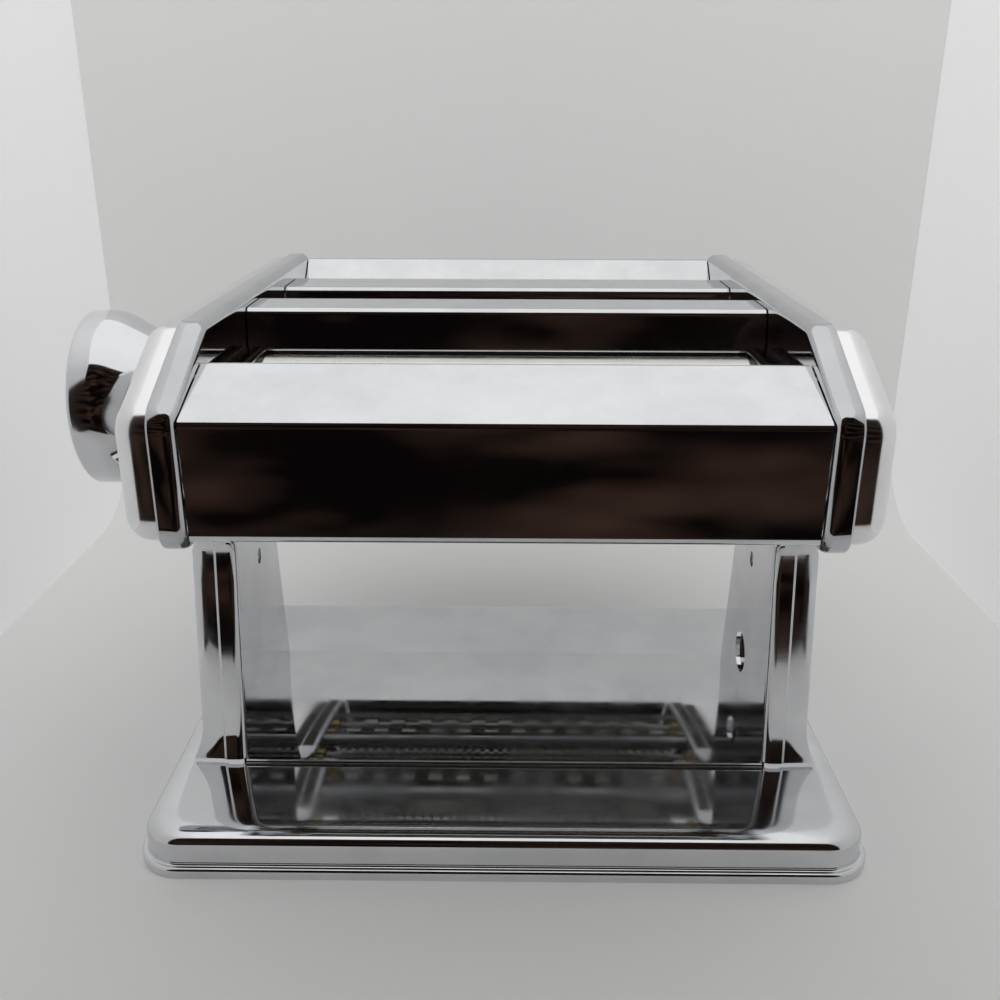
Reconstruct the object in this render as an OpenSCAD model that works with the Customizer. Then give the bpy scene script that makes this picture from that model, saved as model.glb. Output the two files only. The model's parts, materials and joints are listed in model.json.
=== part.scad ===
// Hand cranked pasta machine: a chromed head on a two-legged stand and a pressed base.
// Origin on the table under the middle of the base. X runs along the rollers with the knob
// at -X and the crank sockets at +X, Y runs from the front hood to the back, Z is up.

/* [Rollers and sheet] */
// Width of the dough sheet, the working face of every roller
sheet_w = 150; // [120:1:180]
// Room between a roller's end and the side frame
end_gap = 7.5; // [6:0.5:10]
// Radius of the smooth rollers
roller_r = 15; // [13:0.25:16]
// Height of the smooth rollers' axes above the head's underside
roller_rise = 23.5; // [22:0.5:26]
// Distance of the smooth rollers' nip ahead of the stand's middle
nip_ahead = 21.3; // [19:0.1:23]
// Gap between the smooth rollers at the middle setting
nip_gap = 1.6; // [1.5:0.1:2]
// Radius of a smooth roller's crank side journal
front_journal_r = 6; // [5:0.25:7]
// Radius of the adjustable roller's journals
rear_journal_r = 5; // [4:0.25:5.5]

/* [Thickness regulator] */
// Offset of the eccentrics
throw = 1.6; // [1:0.1:1.6]
// Radius of an eccentric where it turns in the side frame
eccentric_r = 12; // [11.5:0.25:13]
// Wall of the floating bushes on the adjustable roller's journals
bush_wall = 2.5; // [1.5:0.25:2.5]
// Distance of the link bar from the regulator's axis
link_reach = 20.5; // [20:0.25:22]
// Radius of the link bar
link_r = 2.2; // [1.5:0.1:2.6]
// Thickness of the link's arms
link_arm_t = 2.5; // [1.5:0.25:3]
// Wall of the link's rings round the eccentrics
link_ring_w = 1.6; // [1.2:0.1:2]
// Radius of the spindle that the knob slides on
spindle_r = 5; // [4:0.25:6]
// Number of thickness settings
settings = 9; // [6:1:10]
// Turn of the knob from one setting to the next, in degrees
setting_step = 13; // [10:1:13]

/* [Knob] */
// Radius of the knob's neck
knob_neck_r = 18.5; // [16:0.5:21]
// Radius of the knob's rim
knob_rim_r = 27; // [24:0.5:30]
// Length of the flare from neck to rim
knob_flare = 21.5; // [18:0.5:24]
// Width of the rounded rim
knob_rim_w = 6; // [4:0.5:8]
// Thickness of the web that slides on the spindle
knob_web = 5; // [4:0.5:7]
// Wire radius of the knob's return spring
spring_wire_r = 0.6; // [0.4:0.1:0.8]
// Turns of the return spring
spring_turns = 5; // [4:1:6]

/* [Cutters] */
// Diameter of the cutting rings
ring_d = 20; // [18:0.25:20.5]
// Overlap of facing rings
ring_overlap = 1; // [0.6:0.1:1.4]
// Depth of the grooves between the rings
groove_depth = 3; // [2.5:0.1:3.4]
// Strand width of the fine cutter
fine_strand = 2; // [1.6:0.1:3]
// Strand width of the wide cutter
wide_strand = 6.5; // [5:0.1:8]
// Side clearance between facing rings
ring_play = 0.3; // [0.2:0.05:0.4]
// Height of the cutters' axes above the head's underside
cutter_rise = 18.5; // [17.5:0.5:21]
// Radius of the cutters' journals
cutter_journal_r = 5; // [4:0.25:5.5]
// Wall of the cutters' bearings
cutter_bearing_wall = 2; // [1.5:0.25:2.25]
// Thickness of the combs
comb_t = 1; // [0.8:0.1:1.4]
// Width of a comb's bar
comb_bar = 6.4; // [5:0.1:7]
// Tilt of the combs from straight down, in degrees
comb_tilt = 30; // [25:1:35]
// Room between a comb's bar and the tie rod beside it
comb_clear = 2.6; // [2:0.1:4]

/* [Gears] */
// Teeth on each smooth roller's gear
roller_teeth = 15; // [13:1:17]
// Teeth on each cutter's gear
cutter_teeth = 12; // [10:1:14]
// Face width of the gears
gear_w = 5.5; // [4:0.25:6]

/* [Side frames] */
// Sheet thickness of the side frames
frame_t = 1.5; // [1.2:0.1:2]
// Depth of the side frames' turned-out flange
flange_d = 7.5; // [6.5:0.25:9]
// Corner radius of the frames' outline
corner_r = 8; // [6:0.25:9]
// Radius of the bend from wall to flange
bend_r = 3; // [2.2:0.1:4]
// Height of the head's underside above the table
head_z = 99.5; // [92:0.5:106]
// Height of the head
head_h = 55.5; // [53:0.5:60]
// Height of the upright front and back faces
upright_h = 38.5; // [36:0.5:41]
// Reach of the head ahead of the stand's middle
head_front = 75; // [72:0.5:80]
// Room between the last cutting ring and the back panel
back_clear = 26; // [22:0.5:30]
// Depth of the front bevel
front_bevel = 35; // [33:0.5:38]
// Depth of the back bevel
rear_bevel = 29; // [26:0.5:32]

/* [End covers] */
// Height of the end covers' dome beyond the frames' flange
cover_h = 10; // [9:0.5:12]
// Inset of the end covers from the frames' outline
cover_inset = 1.5; // [1:0.1:2.2]
// Sheet thickness of the end covers
cover_t = 1.2; // [0.8:0.1:1.6]
// Rounding of the end covers' edge
cover_edge_r = 5; // [4:0.25:6]

/* [Hoods and top covers] */
// Sheet thickness of hoods and covers
sheet_t = 1; // [0.8:0.1:1.2]
// Bend radius of hoods and covers
sheet_bend = 2.2; // [1.5:0.1:3]
// Clearance of hoods and covers from the side frames
side_clear = 0.3; // [0.2:0.05:0.5]
// Step of the hood and the back panel inside the frames' outline
hood_step = 1.6; // [1:0.1:2.5]
// Height of the front hood's lower edge above the head's underside
hood_rise = 3.5; // [3:0.5:7]
// Drop of the front hood's crease below the frames'
hood_crease_drop = 2; // [1:0.25:3]
// Depth of the front hood's sloping panel
hood_slope_d = 27; // [25:0.5:29]
// Rise of the front hood's sloping panel
hood_slope_h = 10.6; // [8:0.1:12]
// Depth of the turned lips
lip_d = 4; // [3:0.25:5]
// Distance of the middle cover from the adjustable roller's axis
roller_mouth = 10.8; // [10:0.1:12]
// Distance of the covers from the fine cutter's nip
fine_mouth = 19.2; // [17:0.1:20]
// Distance of the rear cover from the wide cutter's nip
wide_mouth = 6.6; // [6:0.1:8]
// Drop of the middle cover below the top rails
middle_drop = 4; // [3:0.25:6]
// Drop of the rear cover below the top rails
rear_drop = 6.4; // [5:0.1:8]
// Lean of the covers' front walls, which guide the sheet to rollers and cutter, in degrees
chute_lean = 12; // [8:1:16]
// Distance of the back panel's sloping lip from the wide cutter's nip
back_mouth = 4.6; // [4:0.1:6]
// Drop of that lip
back_lip_drop = 12; // [9:0.5:14]
// Height of the back panel's lower edge above the head's underside
back_rise = 1.5; // [1:0.25:6]

/* [Guards and scrapers] */
// Sheet thickness of guards and scrapers
guard_t = 1; // [0.8:0.1:1.2]
// Gap from a roller's end to its guard
guard_gap = 1.2; // [0.8:0.1:1.4]
// Height of the guards
guard_h = 8; // [6:0.5:10]
// Gap from the front scraper to its roller
scraper_gap = 0.5; // [0.3:0.1:1]
// Direction of the scrapers from straight down, towards the nip, in degrees
scraper_tilt = 35; // [30:1:38]

/* [Tie rods] */
// Radius of the tie rods
tie_r = 4; // [3:0.25:4.5]
// Radius of their threaded ends
tie_stud_r = 2.5; // [2:0.1:3]
// Width across the flats of the nuts
nut_w = 8; // [7:0.25:9]
// Height of the nuts
nut_h = 4; // [3:0.25:5]
// Height of the tie rods above the head's underside
tie_rise = 7.5; // [7:0.5:9]
// Room between the adjustable roller and the tie rod behind it
rod_room = 4.9; // [4:0.1:6]

/* [Stand] */
// Sheet thickness of the stand
leg_t = 1.5; // [1.2:0.1:2]
// Reach of the legs' feet ahead of the middle
foot_front = 41.4; // [38:0.1:45]
// Reach of the legs' feet behind the middle
foot_rear = 31; // [28:0.5:36]
// Lean of the legs' edges, inward run per unit of height
leg_lean = 0.145; // [0.1:0.005:0.18]
// Height of the curved shoulder under the head
shoulder_h = 17; // [12:0.5:22]
// Reach of the shoulder beyond the waist
shoulder_run = 27; // [15:0.5:30]
// Width of the flange's first facet
facet_in = 6.3; // [5:0.1:8]
// Width of the flange's second facet
facet_out = 5.3; // [4.5:0.1:7]
// Turn of the second facet, in degrees
facet_turn = 8; // [4:1:20]
// Height of the flange's lower end above the base
foot_lift = 1.5; // [1:0.1:2.5]
// Outward flare of the flange at the foot
foot_flare = 4; // [2:0.25:6]
// Radius of the table clamp's hole in the right leg
clamp_hole_r = 7.25; // [5:0.25:9]
// Height of the clamp hole above the base
clamp_hole_rise = 19.6; // [16:0.2:24]
// Thickness of the plate between the legs
plate_t = 1.4; // [1.2:0.1:2]

/* [Base] */
// Reach of the base beyond the stand at each end
base_side = 26; // [20:0.5:32]
// Depth of the base over its lip
base_d = 159; // [145:1:170]
// Height of the base
base_h = 13; // [11:0.5:16]
// Sheet thickness of the base
base_t = 1.2; // [0.8:0.1:1.6]
// Corner radius of the base in plan
base_r = 14; // [12:0.5:20]
// Rounding of the base's top edge
base_edge_r = 3.6; // [3:0.1:5]
// Height of the lip that stands on the table
foot_lip_h = 3.2; // [2.5:0.1:4]
// Projection of the lip beyond the base's wall
foot_lip_w = 2; // [1.5:0.1:3]

/* [Crank sockets] */
// Radius of the crank sockets
socket_r = 3.6; // [3:0.1:3.8]
// Depth of the crank sockets
socket_depth = 14; // [10:0.5:18]

/* [Fits] */
// Radial clearance of running fits
run_clear = 0.05; // [0.02:0.01:0.1]
// Radial clearance of seated pieces
seat_clear = 0.02; // [0.01:0.01:0.04]
// Free gap between pieces that pass each other
pass_gap = 0.5; // [0.4:0.05:0.8]
// Width of a bearing's or eccentric's collar beyond its seat
collar = 1.2; // [1:0.1:1.5]
// Thickness of that collar
collar_t = 1.5; // [1:0.1:2]

/* [Hidden] */
$fn = 64;
arc_steps = 6;
cut = 1;
half_in = sheet_w / 2 + end_gap;
wall_x = half_in + frame_t;
rim_x = half_in + flange_d;
end_x = rim_x + cover_h;
head_top = head_z + head_h;
crease_z = head_z + upright_h;
roller_z = head_z + roller_rise;
front_roller_y = -nip_ahead - roller_r - nip_gap / 2;
rear_roller_y = -nip_ahead + roller_r + nip_gap / 2;
regulator_z = roller_z + throw;
bush_r = rear_journal_r + run_clear + bush_wall;
cutter_z = head_z + cutter_rise;
cutter_gap = ring_d - ring_overlap;
comb_reach = ring_d / 2 + pass_gap + comb_bar;
comb_reach_y = comb_reach * sin(comb_tilt) + comb_t / 2 * cos(comb_tilt);
comb_room = comb_reach_y + comb_clear;
rod_2_y = rear_roller_y + roller_r + throw + rod_room + tie_r;
fine_front_y = rod_2_y + tie_r + comb_room;
fine_behind = fine_front_y + cutter_gap / 2;
fine_rear_y = fine_front_y + cutter_gap;
rod_3_y = fine_rear_y + comb_room + tie_r;
wide_front_y = rod_3_y + tie_r + comb_room;
wide_behind = wide_front_y + cutter_gap / 2;
wide_rear_y = wide_front_y + cutter_gap;
head_rear = wide_rear_y + ring_d / 2 + back_clear + sheet_t + hood_step;
cutter_ys = [fine_front_y, fine_rear_y, wide_front_y, wide_rear_y];
cutter_seat_r = cutter_journal_r + run_clear + cutter_bearing_wall;
front_seat_r = front_journal_r + run_clear + cutter_bearing_wall;
groove_r = ring_d / 2 - groove_depth;
gear_x = wall_x + collar_t + pass_gap;
gear_end = gear_x + gear_w;
socket_recess = 1;
socket_x = end_x - socket_recess;
tie_z = head_z + tie_rise;
front_wall_in = -head_front + hood_step + sheet_t;
tie_ys = [(front_wall_in + front_roller_y - roller_r) / 2, rod_2_y, rod_3_y];
rivet_ys = [-foot_front / 2, foot_rear / 2];
rivet_r = 1.5;
rivet_head_r = 3 * rivet_r / 2;
rivet_x = half_in + bend_r + rivet_head_r;
rivet_head = 1.6;
screw_r = 2;
screw_head_r = 3.8;
screw_head = 2;
leg_h = head_z - base_h;
knob_in = end_x + pass_gap;
knob_end = knob_in + knob_flare + knob_rim_w;
spindle_end = knob_in + knob_flare - collar_t;
washer_t = 1.5;
spring_room = 6.5;
pocket_r = spindle_r + spring_room;
spring_clear = 0.8;
spring_r = spindle_r + spring_clear + spring_wire_r;
pin_reach = 9;
index_r = spindle_r + pin_reach;
pin_r = 1.5;
link_rest = -37;
link_ring_r = eccentric_r + link_ring_w;
half_turn = setting_step * (settings - 1) / 2;

chrome = [0.80, 0.81, 0.83];
satin = [0.86, 0.86, 0.85];
steel = [0.62, 0.63, 0.65];
brass = [0.78, 0.66, 0.36];
spring_steel = [0.35, 0.36, 0.38];

// Plane geometry for rounded outlines and bent sheets

function unit(v) = v / norm(v);
function left_of(a, b) = let (d = unit(b - a)) [-d[1], d[0]];
function mitre(m, n) = (m + n) / (1 + m * n);
function prev_of(p, i) = p[(i + len(p) - 1) % len(p)];
function next_of(p, i) = p[(i + 1) % len(p)];
function normal_in(p, i) = left_of(prev_of(p, i), p[i]);
function normal_out(p, i) = left_of(p[i], next_of(p, i));

// A convex outline, anticlockwise, moved inward by d
function inset(p, d) = [for (i = [0 : len(p) - 1]) p[i] + d * mitre(normal_in(p, i), normal_out(p, i))];

// A path with each inner corner replaced by an arc of radius r
function corner_arc(a, b, c, r) =
  let (side = cross(unit(b - a), unit(c - b)) > 0 ? 1 : -1)
  let (m = side * left_of(a, b), n = side * left_of(b, c))
  let (centre = b + r * mitre(m, n))
  let (start = atan2(-m[1], -m[0]), turn = side * acos(unit(b - a) * unit(c - b)))
  [for (k = [0 : arc_steps])
    centre + r * [cos(start + turn * k / arc_steps), sin(start + turn * k / arc_steps)]];
function bent(p, r) = [
  p[0],
  for (i = [1 : len(p) - 2]) each corner_arc(p[i - 1], p[i], p[i + 1], r),
  p[len(p) - 1]
];

// The normal on the left of a path at its point i
function path_normal(p, i) =
  i == 0 ? left_of(p[0], p[1])
  : i == len(p) - 1 ? left_of(p[i - 1], p[i])
  : mitre(left_of(p[i - 1], p[i]), left_of(p[i], p[i + 1]));

// A sheet of thickness t on the left of a path
module strip(p, t) {
  last = len(p) - 1;
  polygon(concat(p, [for (i = [last : -1 : 0]) p[i] + t * path_normal(p, i)]));
}

// A convex outline, anticlockwise, with its corners rounded
function rounded(p, r) = [for (i = [0 : len(p) - 1]) each corner_arc(prev_of(p, i), p[i], next_of(p, i), r)];

// A quarter bend of radius r in a section, from its lowest point out to its widest, or back
function edge_arc(r, centre, way) = [for (k = [0 : arc_steps])
  let (a = way > 0 ? 270 - 90 * k / arc_steps : 180 + 90 * k / arc_steps)
  centre + r * [cos(a), sin(a)]];

// A pressed sheet: each point of the section gives a level of the outline, moved inward and up
module pressing(outline, section) {
  loft([for (s = section) [for (q = inset(outline, s[0])) [q[0], q[1], s[1]]]]);
}

// A tube of rings, each a list of points, with fan ends
module loft(rings) {
  n = len(rings[0]);
  m = len(rings);
  polyhedron(
    points = [for (ring = rings) each ring],
    faces = concat(
      [for (j = [1 : n - 2]) [0, j + 1, j]],
      [for (k = [0 : m - 2], j = [0 : n - 1])
        each let (a = k * n + j, b = k * n + (j + 1) % n) [[a, b, b + n], [a, b + n, a + n]]],
      [for (j = [1 : n - 2]) [(m - 1) * n, (m - 1) * n + j, (m - 1) * n + j + 1]]
    )
  );
}

// A profile carried round a convex outline with corner radius r.
// The profile's x is the distance inward from the outline, and its y is the height.
module carry_round(p, r) {
  c = inset(p, r);
  for (i = [0 : len(p) - 1]) {
    m = normal_in(p, i);
    n = normal_out(p, i);
    run = norm(next_of(c, i) - c[i]);
    translate([c[i][0], c[i][1], 0])
      rotate([0, 0, atan2(-m[1], -m[0])])
        rotate_extrude(angle = acos(m * n))
          translate([r, 0]) mirror([1, 0]) children();
    translate([c[i][0] - r * n[0], c[i][1] - r * n[1], 0])
      rotate([0, 0, atan2(-n[0], n[1])])
        rotate([90, 0, 90])
          linear_extrude(run) children();
  }
}

// A flat sheet that turns down into a wall: x inward, y up, total height h
module turned_edge(r, h, t, edge_r) {
  square([t, h - edge_r]);
  translate([edge_r, h - edge_r])
    difference() {
      intersection() {
        circle(edge_r);
        translate([-edge_r, 0]) square(edge_r);
      }
      circle(edge_r - t);
    }
  translate([edge_r, h - t]) square([r - edge_r, t]);
}

// Solid shapes along X

module rod_x(y, z, r, x0, x1) {
  translate([x0, y, z]) rotate([0, 90, 0]) cylinder(r = r, h = x1 - x0);
}

// A sheet profile drawn in Y and Z, carried along X
module across(x0, x1) {
  translate([x0, 0, 0]) rotate([90, 0, 90]) linear_extrude(x1 - x0) children();
}

// A solid turned about an X axis; the profile's x is the radius and its y is X
module turned_x(y, z) {
  translate([0, y, z]) rotate([0, 90, 0]) rotate_extrude() children();
}

module both_sides() {
  children();
  mirror([1, 0, 0]) children();
}

// Side frames, pressed with a flange turned outward

head_outline = [
  [-head_front, head_z],
  [head_rear, head_z],
  [head_rear, crease_z],
  [head_rear - rear_bevel, head_top],
  [-head_front + front_bevel, head_top],
  [-head_front, crease_z]
];

// Section of the side frame: from its wall's inner face round the bend, over the flange's edge and back
frame_section = concat(
  edge_arc(bend_r, [bend_r, bend_r], 1),
  [[0, flange_d], [frame_t, flange_d]],
  edge_arc(bend_r - frame_t, [bend_r, bend_r], -1)
);

module frame_pressing() {
  translate([half_in, 0, 0]) rotate([90, 0, 90]) pressing(rounded(head_outline, corner_r), frame_section);
}

module frame_holes() {
  x0 = half_in - cut;
  x1 = wall_x + cut;
  rod_x(front_roller_y, roller_z, front_seat_r + seat_clear, x0, x1);
  rod_x(rear_roller_y, regulator_z, eccentric_r + run_clear, x0, x1);
  for (y = cutter_ys) rod_x(y, cutter_z, cutter_seat_r + seat_clear, x0, x1);
  for (y = tie_ys) rod_x(y, tie_z, tie_stud_r + seat_clear, x0, x1);
  for (y = rivet_ys)
    translate([rivet_x, y, head_z - cut]) cylinder(r = rivet_r + seat_clear, h = frame_t + 2 * cut);
}

module side_frame() {
  color(chrome) difference() {
    frame_pressing();
    frame_holes();
  }
}

module left_side_frame() {
  mirror([1, 0, 0]) side_frame();
}

module right_side_frame() {
  side_frame();
}

// End covers, satin domes that stand on the frames' flanges

cover_outline = inset(head_outline, cover_inset);

// Section of the end cover: from its inner face over the standing edge and round to its outer face
cover_section = concat(
  flipped(edge_arc(cover_edge_r - cover_t, [cover_edge_r, cover_edge_r], 1)),
  [[cover_t, 0], [0, 0]],
  flipped(edge_arc(cover_edge_r, [cover_edge_r, cover_edge_r], -1))
);

function flipped(section) = [for (q = section) [q[0], cover_h - q[1]]];

module end_dome() {
  translate([rim_x, 0, 0]) rotate([90, 0, 90]) pressing(rounded(cover_outline, corner_r), cover_section);
}

module left_end_cover() {
  x0 = -end_x - cut;
  x1 = -end_x + cover_t + cut;
  color(satin) difference() {
    mirror([1, 0, 0]) end_dome();
    rod_x(rear_roller_y, regulator_z, spindle_r + pass_gap, x0, x1);
    for (i = [0 : settings - 1])
      translate([0, rear_roller_y, regulator_z])
        rotate([setting_step * i - half_turn, 0, 0])
          rod_x(0, index_r, pin_r + run_clear, x0, x1);
  }
}

module right_end_cover() {
  x0 = end_x - cover_t - cut;
  x1 = end_x + cut;
  color(satin) difference() {
    end_dome();
    rod_x(front_roller_y, roller_z, front_journal_r + pass_gap, x0, x1);
    for (y = [fine_front_y, wide_front_y]) rod_x(y, cutter_z, cutter_journal_r + pass_gap, x0, x1);
  }
}

// Front hood: lower lip, upright face, crease, sloping panel, upper lip

hood_front = -head_front + hood_step;
hood_low = head_z + hood_rise;
hood_edge_y = hood_front + hood_slope_d;
hood_crease_z = crease_z - hood_crease_drop;
hood_edge_z = hood_crease_z + hood_slope_h;
hood_ends = half_in - side_clear;

module front_hood() {
  path = [
    [hood_front + lip_d, hood_low],
    [hood_front, hood_low],
    [hood_front, hood_crease_z],
    [hood_edge_y, hood_edge_z],
    [hood_edge_y + sheet_bend, hood_edge_z - lip_d]
  ];
  color(chrome) across(-hood_ends, hood_ends) mirror([1, 0]) strip(mirrored(bent(path, sheet_bend)), sheet_t);
}

function mirrored(p) = [for (q = p) [-q[0], q[1]]];

// Covers between the feed slots, channels open below

middle_y = rear_roller_y + roller_mouth;
middle_top = head_top - middle_drop;
rear_top = head_top - rear_drop;
cover_low = roller_z + roller_r;

// Foot of a leaning front wall that starts at y and drops by h
function chute_y(y, h) = y - h * tan(chute_lean);

module channel_cover(y0, y1, top) {
  path = [[y1, cover_low], [y1, top], [y0, top], [chute_y(y0, top - cover_low), cover_low]];
  across(-hood_ends, hood_ends) strip(bent(path, sheet_bend), sheet_t);
}

module middle_cover() {
  color(chrome) channel_cover(middle_y, fine_behind - fine_mouth, middle_top);
}

module rear_cover() {
  color(chrome) channel_cover(fine_behind + fine_mouth, wide_behind - wide_mouth, rear_top);
}

// Rear hood: back panel that follows the frames' bevel and upright, with a lip down to the wide cutter

module rear_hood() {
  edge = inset(head_outline, hood_step);
  back_low = head_z + back_rise;
  path = [
    [edge[1][0] - lip_d, back_low],
    [edge[1][0], back_low],
    edge[2],
    edge[3],
    [wide_behind + back_mouth, edge[3][1] - back_lip_drop]
  ];
  color(chrome) across(-hood_ends, hood_ends) strip(bent(path, sheet_bend), sheet_t);
}

// Tie rods between the side frames, with nuts outside them

module tie_rods() {
  color(steel)
    for (y = tie_ys) {
      rod_x(y, tie_z, tie_r, -half_in, half_in);
      both_sides() rod_x(y, tie_z, tie_stud_r, half_in - cut, wall_x + nut_h + cut);
    }
}

module tie_rod_nuts() {
  color(steel)
    for (y = tie_ys)
      both_sides() difference() {
        translate([wall_x, y, tie_z]) rotate([0, 90, 0]) rotate([0, 0, 30])
          cylinder(d = nut_w / cos(30), h = nut_h, $fn = 6);
        rod_x(y, tie_z, tie_stud_r + seat_clear, wall_x - cut, wall_x + nut_h + cut);
      }
}

// Guards that keep the sheet off the rollers' ends, folded to a ledge on the frame

module roller_guard() {
  x0 = sheet_w / 2 + guard_gap;
  top = regulator_z + link_ring_r + pass_gap + guard_t;
  y0 = hood_edge_y + sheet_bend + sheet_t + guard_gap;
  y1 = chute_y(middle_y, middle_top - cover_low) - guard_gap;
  color(chrome) {
    translate([x0, y0, top - guard_h]) cube([guard_t, y1 - y0, guard_h]);
    translate([x0, y0, top - guard_t]) cube([half_in - x0, y1 - y0, guard_t]);
  }
}

module left_roller_guard() {
  mirror([1, 0, 0]) roller_guard();
}

module right_roller_guard() {
  roller_guard();
}

// Scraper blades under the smooth rollers, on either side of the leaving sheet

module scraper(y, gap, side) {
  reach = roller_r + gap;
  tip = [y + side * reach * sin(scraper_tilt), roller_z - reach * cos(scraper_tilt)];
  foot = [tip[0] - side * guard_t, head_z + 2 * guard_t];
  path = [tip, foot, [foot[0] - side * lip_d, foot[1]]];
  across(-half_in, half_in)
    if (side < 0) mirror([1, 0]) strip(mirrored(bent(path, sheet_bend)), guard_t);
    else strip(bent(path, sheet_bend), guard_t);
}

module front_scraper() {
  color(steel) scraper(front_roller_y, scraper_gap, 1);
}

module rear_scraper() {
  color(steel) scraper(rear_roller_y, throw + scraper_gap, -1);
}

// Ring cutters

function ring_pitch(strand) = 2 * strand;
function ring_width(strand) = strand - ring_play;
function ring_count(strand) = floor((sheet_w - ring_width(strand)) / ring_pitch(strand)) + 1;
function ring_centres(count, strand) = [for (i = [0 : count - 1]) (i - (count - 1) / 2) * ring_pitch(strand)];

// The leading cutter has one ring more than its mate, whose rings run in its grooves
function lead_rings(strand) = ring_centres(ring_count(strand), strand);
function mate_rings(strand) = ring_centres(ring_count(strand) - 1, strand);

module cutter(y, rings, strand, right_end) {
  half_ring = ring_width(strand) / 2;
  face = sheet_w / 2;
  left_end = -wall_x - collar_t;
  turned_x(y, cutter_z) polygon(concat(
    [[0, left_end], [cutter_journal_r, left_end], [cutter_journal_r, -face], [groove_r, -face]],
    [for (x = rings) each [
      [groove_r, x - half_ring],
      [ring_d / 2, x - half_ring],
      [ring_d / 2, x + half_ring],
      [groove_r, x + half_ring]
    ]],
    [[groove_r, face], [cutter_journal_r, face], [cutter_journal_r, right_end], [0, right_end]]
  ));
}

module driven_cutter(y, rings, strand) {
  difference() {
    cutter(y, rings, strand, socket_x);
    rod_x(y, cutter_z, socket_r, socket_x - socket_depth, socket_x + cut);
  }
}

module fine_front_cutter() {
  color(satin) driven_cutter(fine_front_y, lead_rings(fine_strand), fine_strand);
}

module fine_rear_cutter() {
  color(satin) cutter(fine_rear_y, mate_rings(fine_strand), fine_strand, gear_end);
}

module wide_front_cutter() {
  color(satin) driven_cutter(wide_front_y, lead_rings(wide_strand), wide_strand);
}

module wide_rear_cutter() {
  color(satin) cutter(wide_rear_y, mate_rings(wide_strand), wide_strand, gear_end);
}

// Combs: a bar between the frames with a finger in each groove.
// Drawn flat with the roller's axis on y = 0 and the fingers pointing to it.

module comb(y, fingers, strand, side) {
  finger_w = ring_width(strand) - 2 * ring_play;
  tip = groove_r + pass_gap;
  bar = ring_d / 2 + pass_gap;
  translate([0, y, cutter_z])
    rotate([90 + side * comb_tilt, 0, 0])
      translate([0, 0, -comb_t / 2])
        linear_extrude(comb_t) {
          translate([-half_in, -comb_reach]) square([2 * half_in, comb_bar]);
          for (x = fingers) translate([x - finger_w / 2, -bar - cut]) square([finger_w, bar + cut - tip]);
        }
}

function inner_of(list) = [for (i = [1 : len(list) - 2]) list[i]];

module fine_front_comb() {
  color(steel) comb(fine_front_y, mate_rings(fine_strand), fine_strand, -1);
}

module fine_rear_comb() {
  color(steel) comb(fine_rear_y, inner_of(lead_rings(fine_strand)), fine_strand, 1);
}

module wide_front_comb() {
  color(steel) comb(wide_front_y, mate_rings(wide_strand), wide_strand, -1);
}

module wide_rear_comb() {
  color(steel) comb(wide_rear_y, inner_of(lead_rings(wide_strand)), wide_strand, 1);
}

// Bearings in the side frames

module bearing(y, z, bore_r, seat_r) {
  difference() {
    union() {
      rod_x(y, z, seat_r, half_in - collar_t, wall_x + collar_t);
      rod_x(y, z, seat_r + collar, half_in - collar_t, half_in);
    }
    rod_x(y, z, bore_r, half_in - collar_t - cut, wall_x + collar_t + cut);
  }
}

module roller_bearings() {
  color(brass) both_sides() bearing(front_roller_y, roller_z, front_journal_r + run_clear, front_seat_r);
}

module cutter_bearings() {
  color(brass)
    for (y = cutter_ys)
      both_sides() bearing(y, cutter_z, cutter_journal_r + run_clear, cutter_seat_r);
}

// Smooth rollers

module front_roller() {
  face = sheet_w / 2;
  color(satin) difference() {
    union() {
      rod_x(front_roller_y, roller_z, roller_r, -face, face);
      rod_x(front_roller_y, roller_z, front_journal_r, -wall_x - collar_t, socket_x);
    }
    rod_x(front_roller_y, roller_z, socket_r, socket_x - socket_depth, socket_x + cut);
  }
}

module rear_roller() {
  face = sheet_w / 2;
  color(satin) {
    rod_x(rear_roller_y, roller_z, roller_r, -face, face);
    rod_x(rear_roller_y, roller_z, rear_journal_r, -wall_x, gear_end);
  }
}

// Gears

function tooth(root_r, tip_r, root_w, tip_w, turn) = [
  for (q = [[root_r, -root_w], [tip_r, -tip_w], [tip_r, tip_w], [root_r, root_w]])
    let (a = turn + q[1] / q[0] * 180 / PI)
    [q[0] * cos(a), q[0] * sin(a)]
];

addendum = 0.85;
pressure_angle = 20;

// A spur gear with room in its teeth for the working range of its centre distance.
// The root's room and the teeth's width are shares of the gear's module.
module spur_gear(teeth, pitch_r, root_share, tooth_share, turn, bore_r) {
  module_mm = 2 * pitch_r / teeth;
  tip_r = pitch_r + addendum * module_mm;
  root_r = pitch_r - (1 + root_share) * module_mm;
  half_w = tooth_share * PI * module_mm / 2;
  slope = tan(pressure_angle);
  linear_extrude(gear_w) difference() {
    polygon([for (i = [0 : teeth - 1]) each tooth(
      root_r,
      tip_r,
      half_w + (pitch_r - root_r) * slope,
      half_w - addendum * module_mm * slope,
      turn + i * 360 / teeth
    )]);
    circle(bore_r);
  }
}

module gear_at(y, z) {
  translate([gear_x, y, z]) rotate([90, 0, 90]) children();
}

roller_tooth_share = 0.33;
roller_root_share = 1 / 8;
cutter_tooth_share = 0.36;
cutter_root_share = 1 / 6;

module roller_gear(y, turn, bore_r) {
  gear_at(y, roller_z)
    spur_gear(roller_teeth, roller_r, roller_root_share, roller_tooth_share, turn, bore_r);
}

module cutter_gear(y, turn) {
  gear_at(y, cutter_z)
    spur_gear(
      cutter_teeth, cutter_gap / 2, cutter_root_share, cutter_tooth_share, turn,
      cutter_journal_r + seat_clear
    );
}

// The first gear has a tooth on the line of centres and its mate a gap there
function mate_turn(teeth) = 180 + 180 / teeth;

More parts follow.
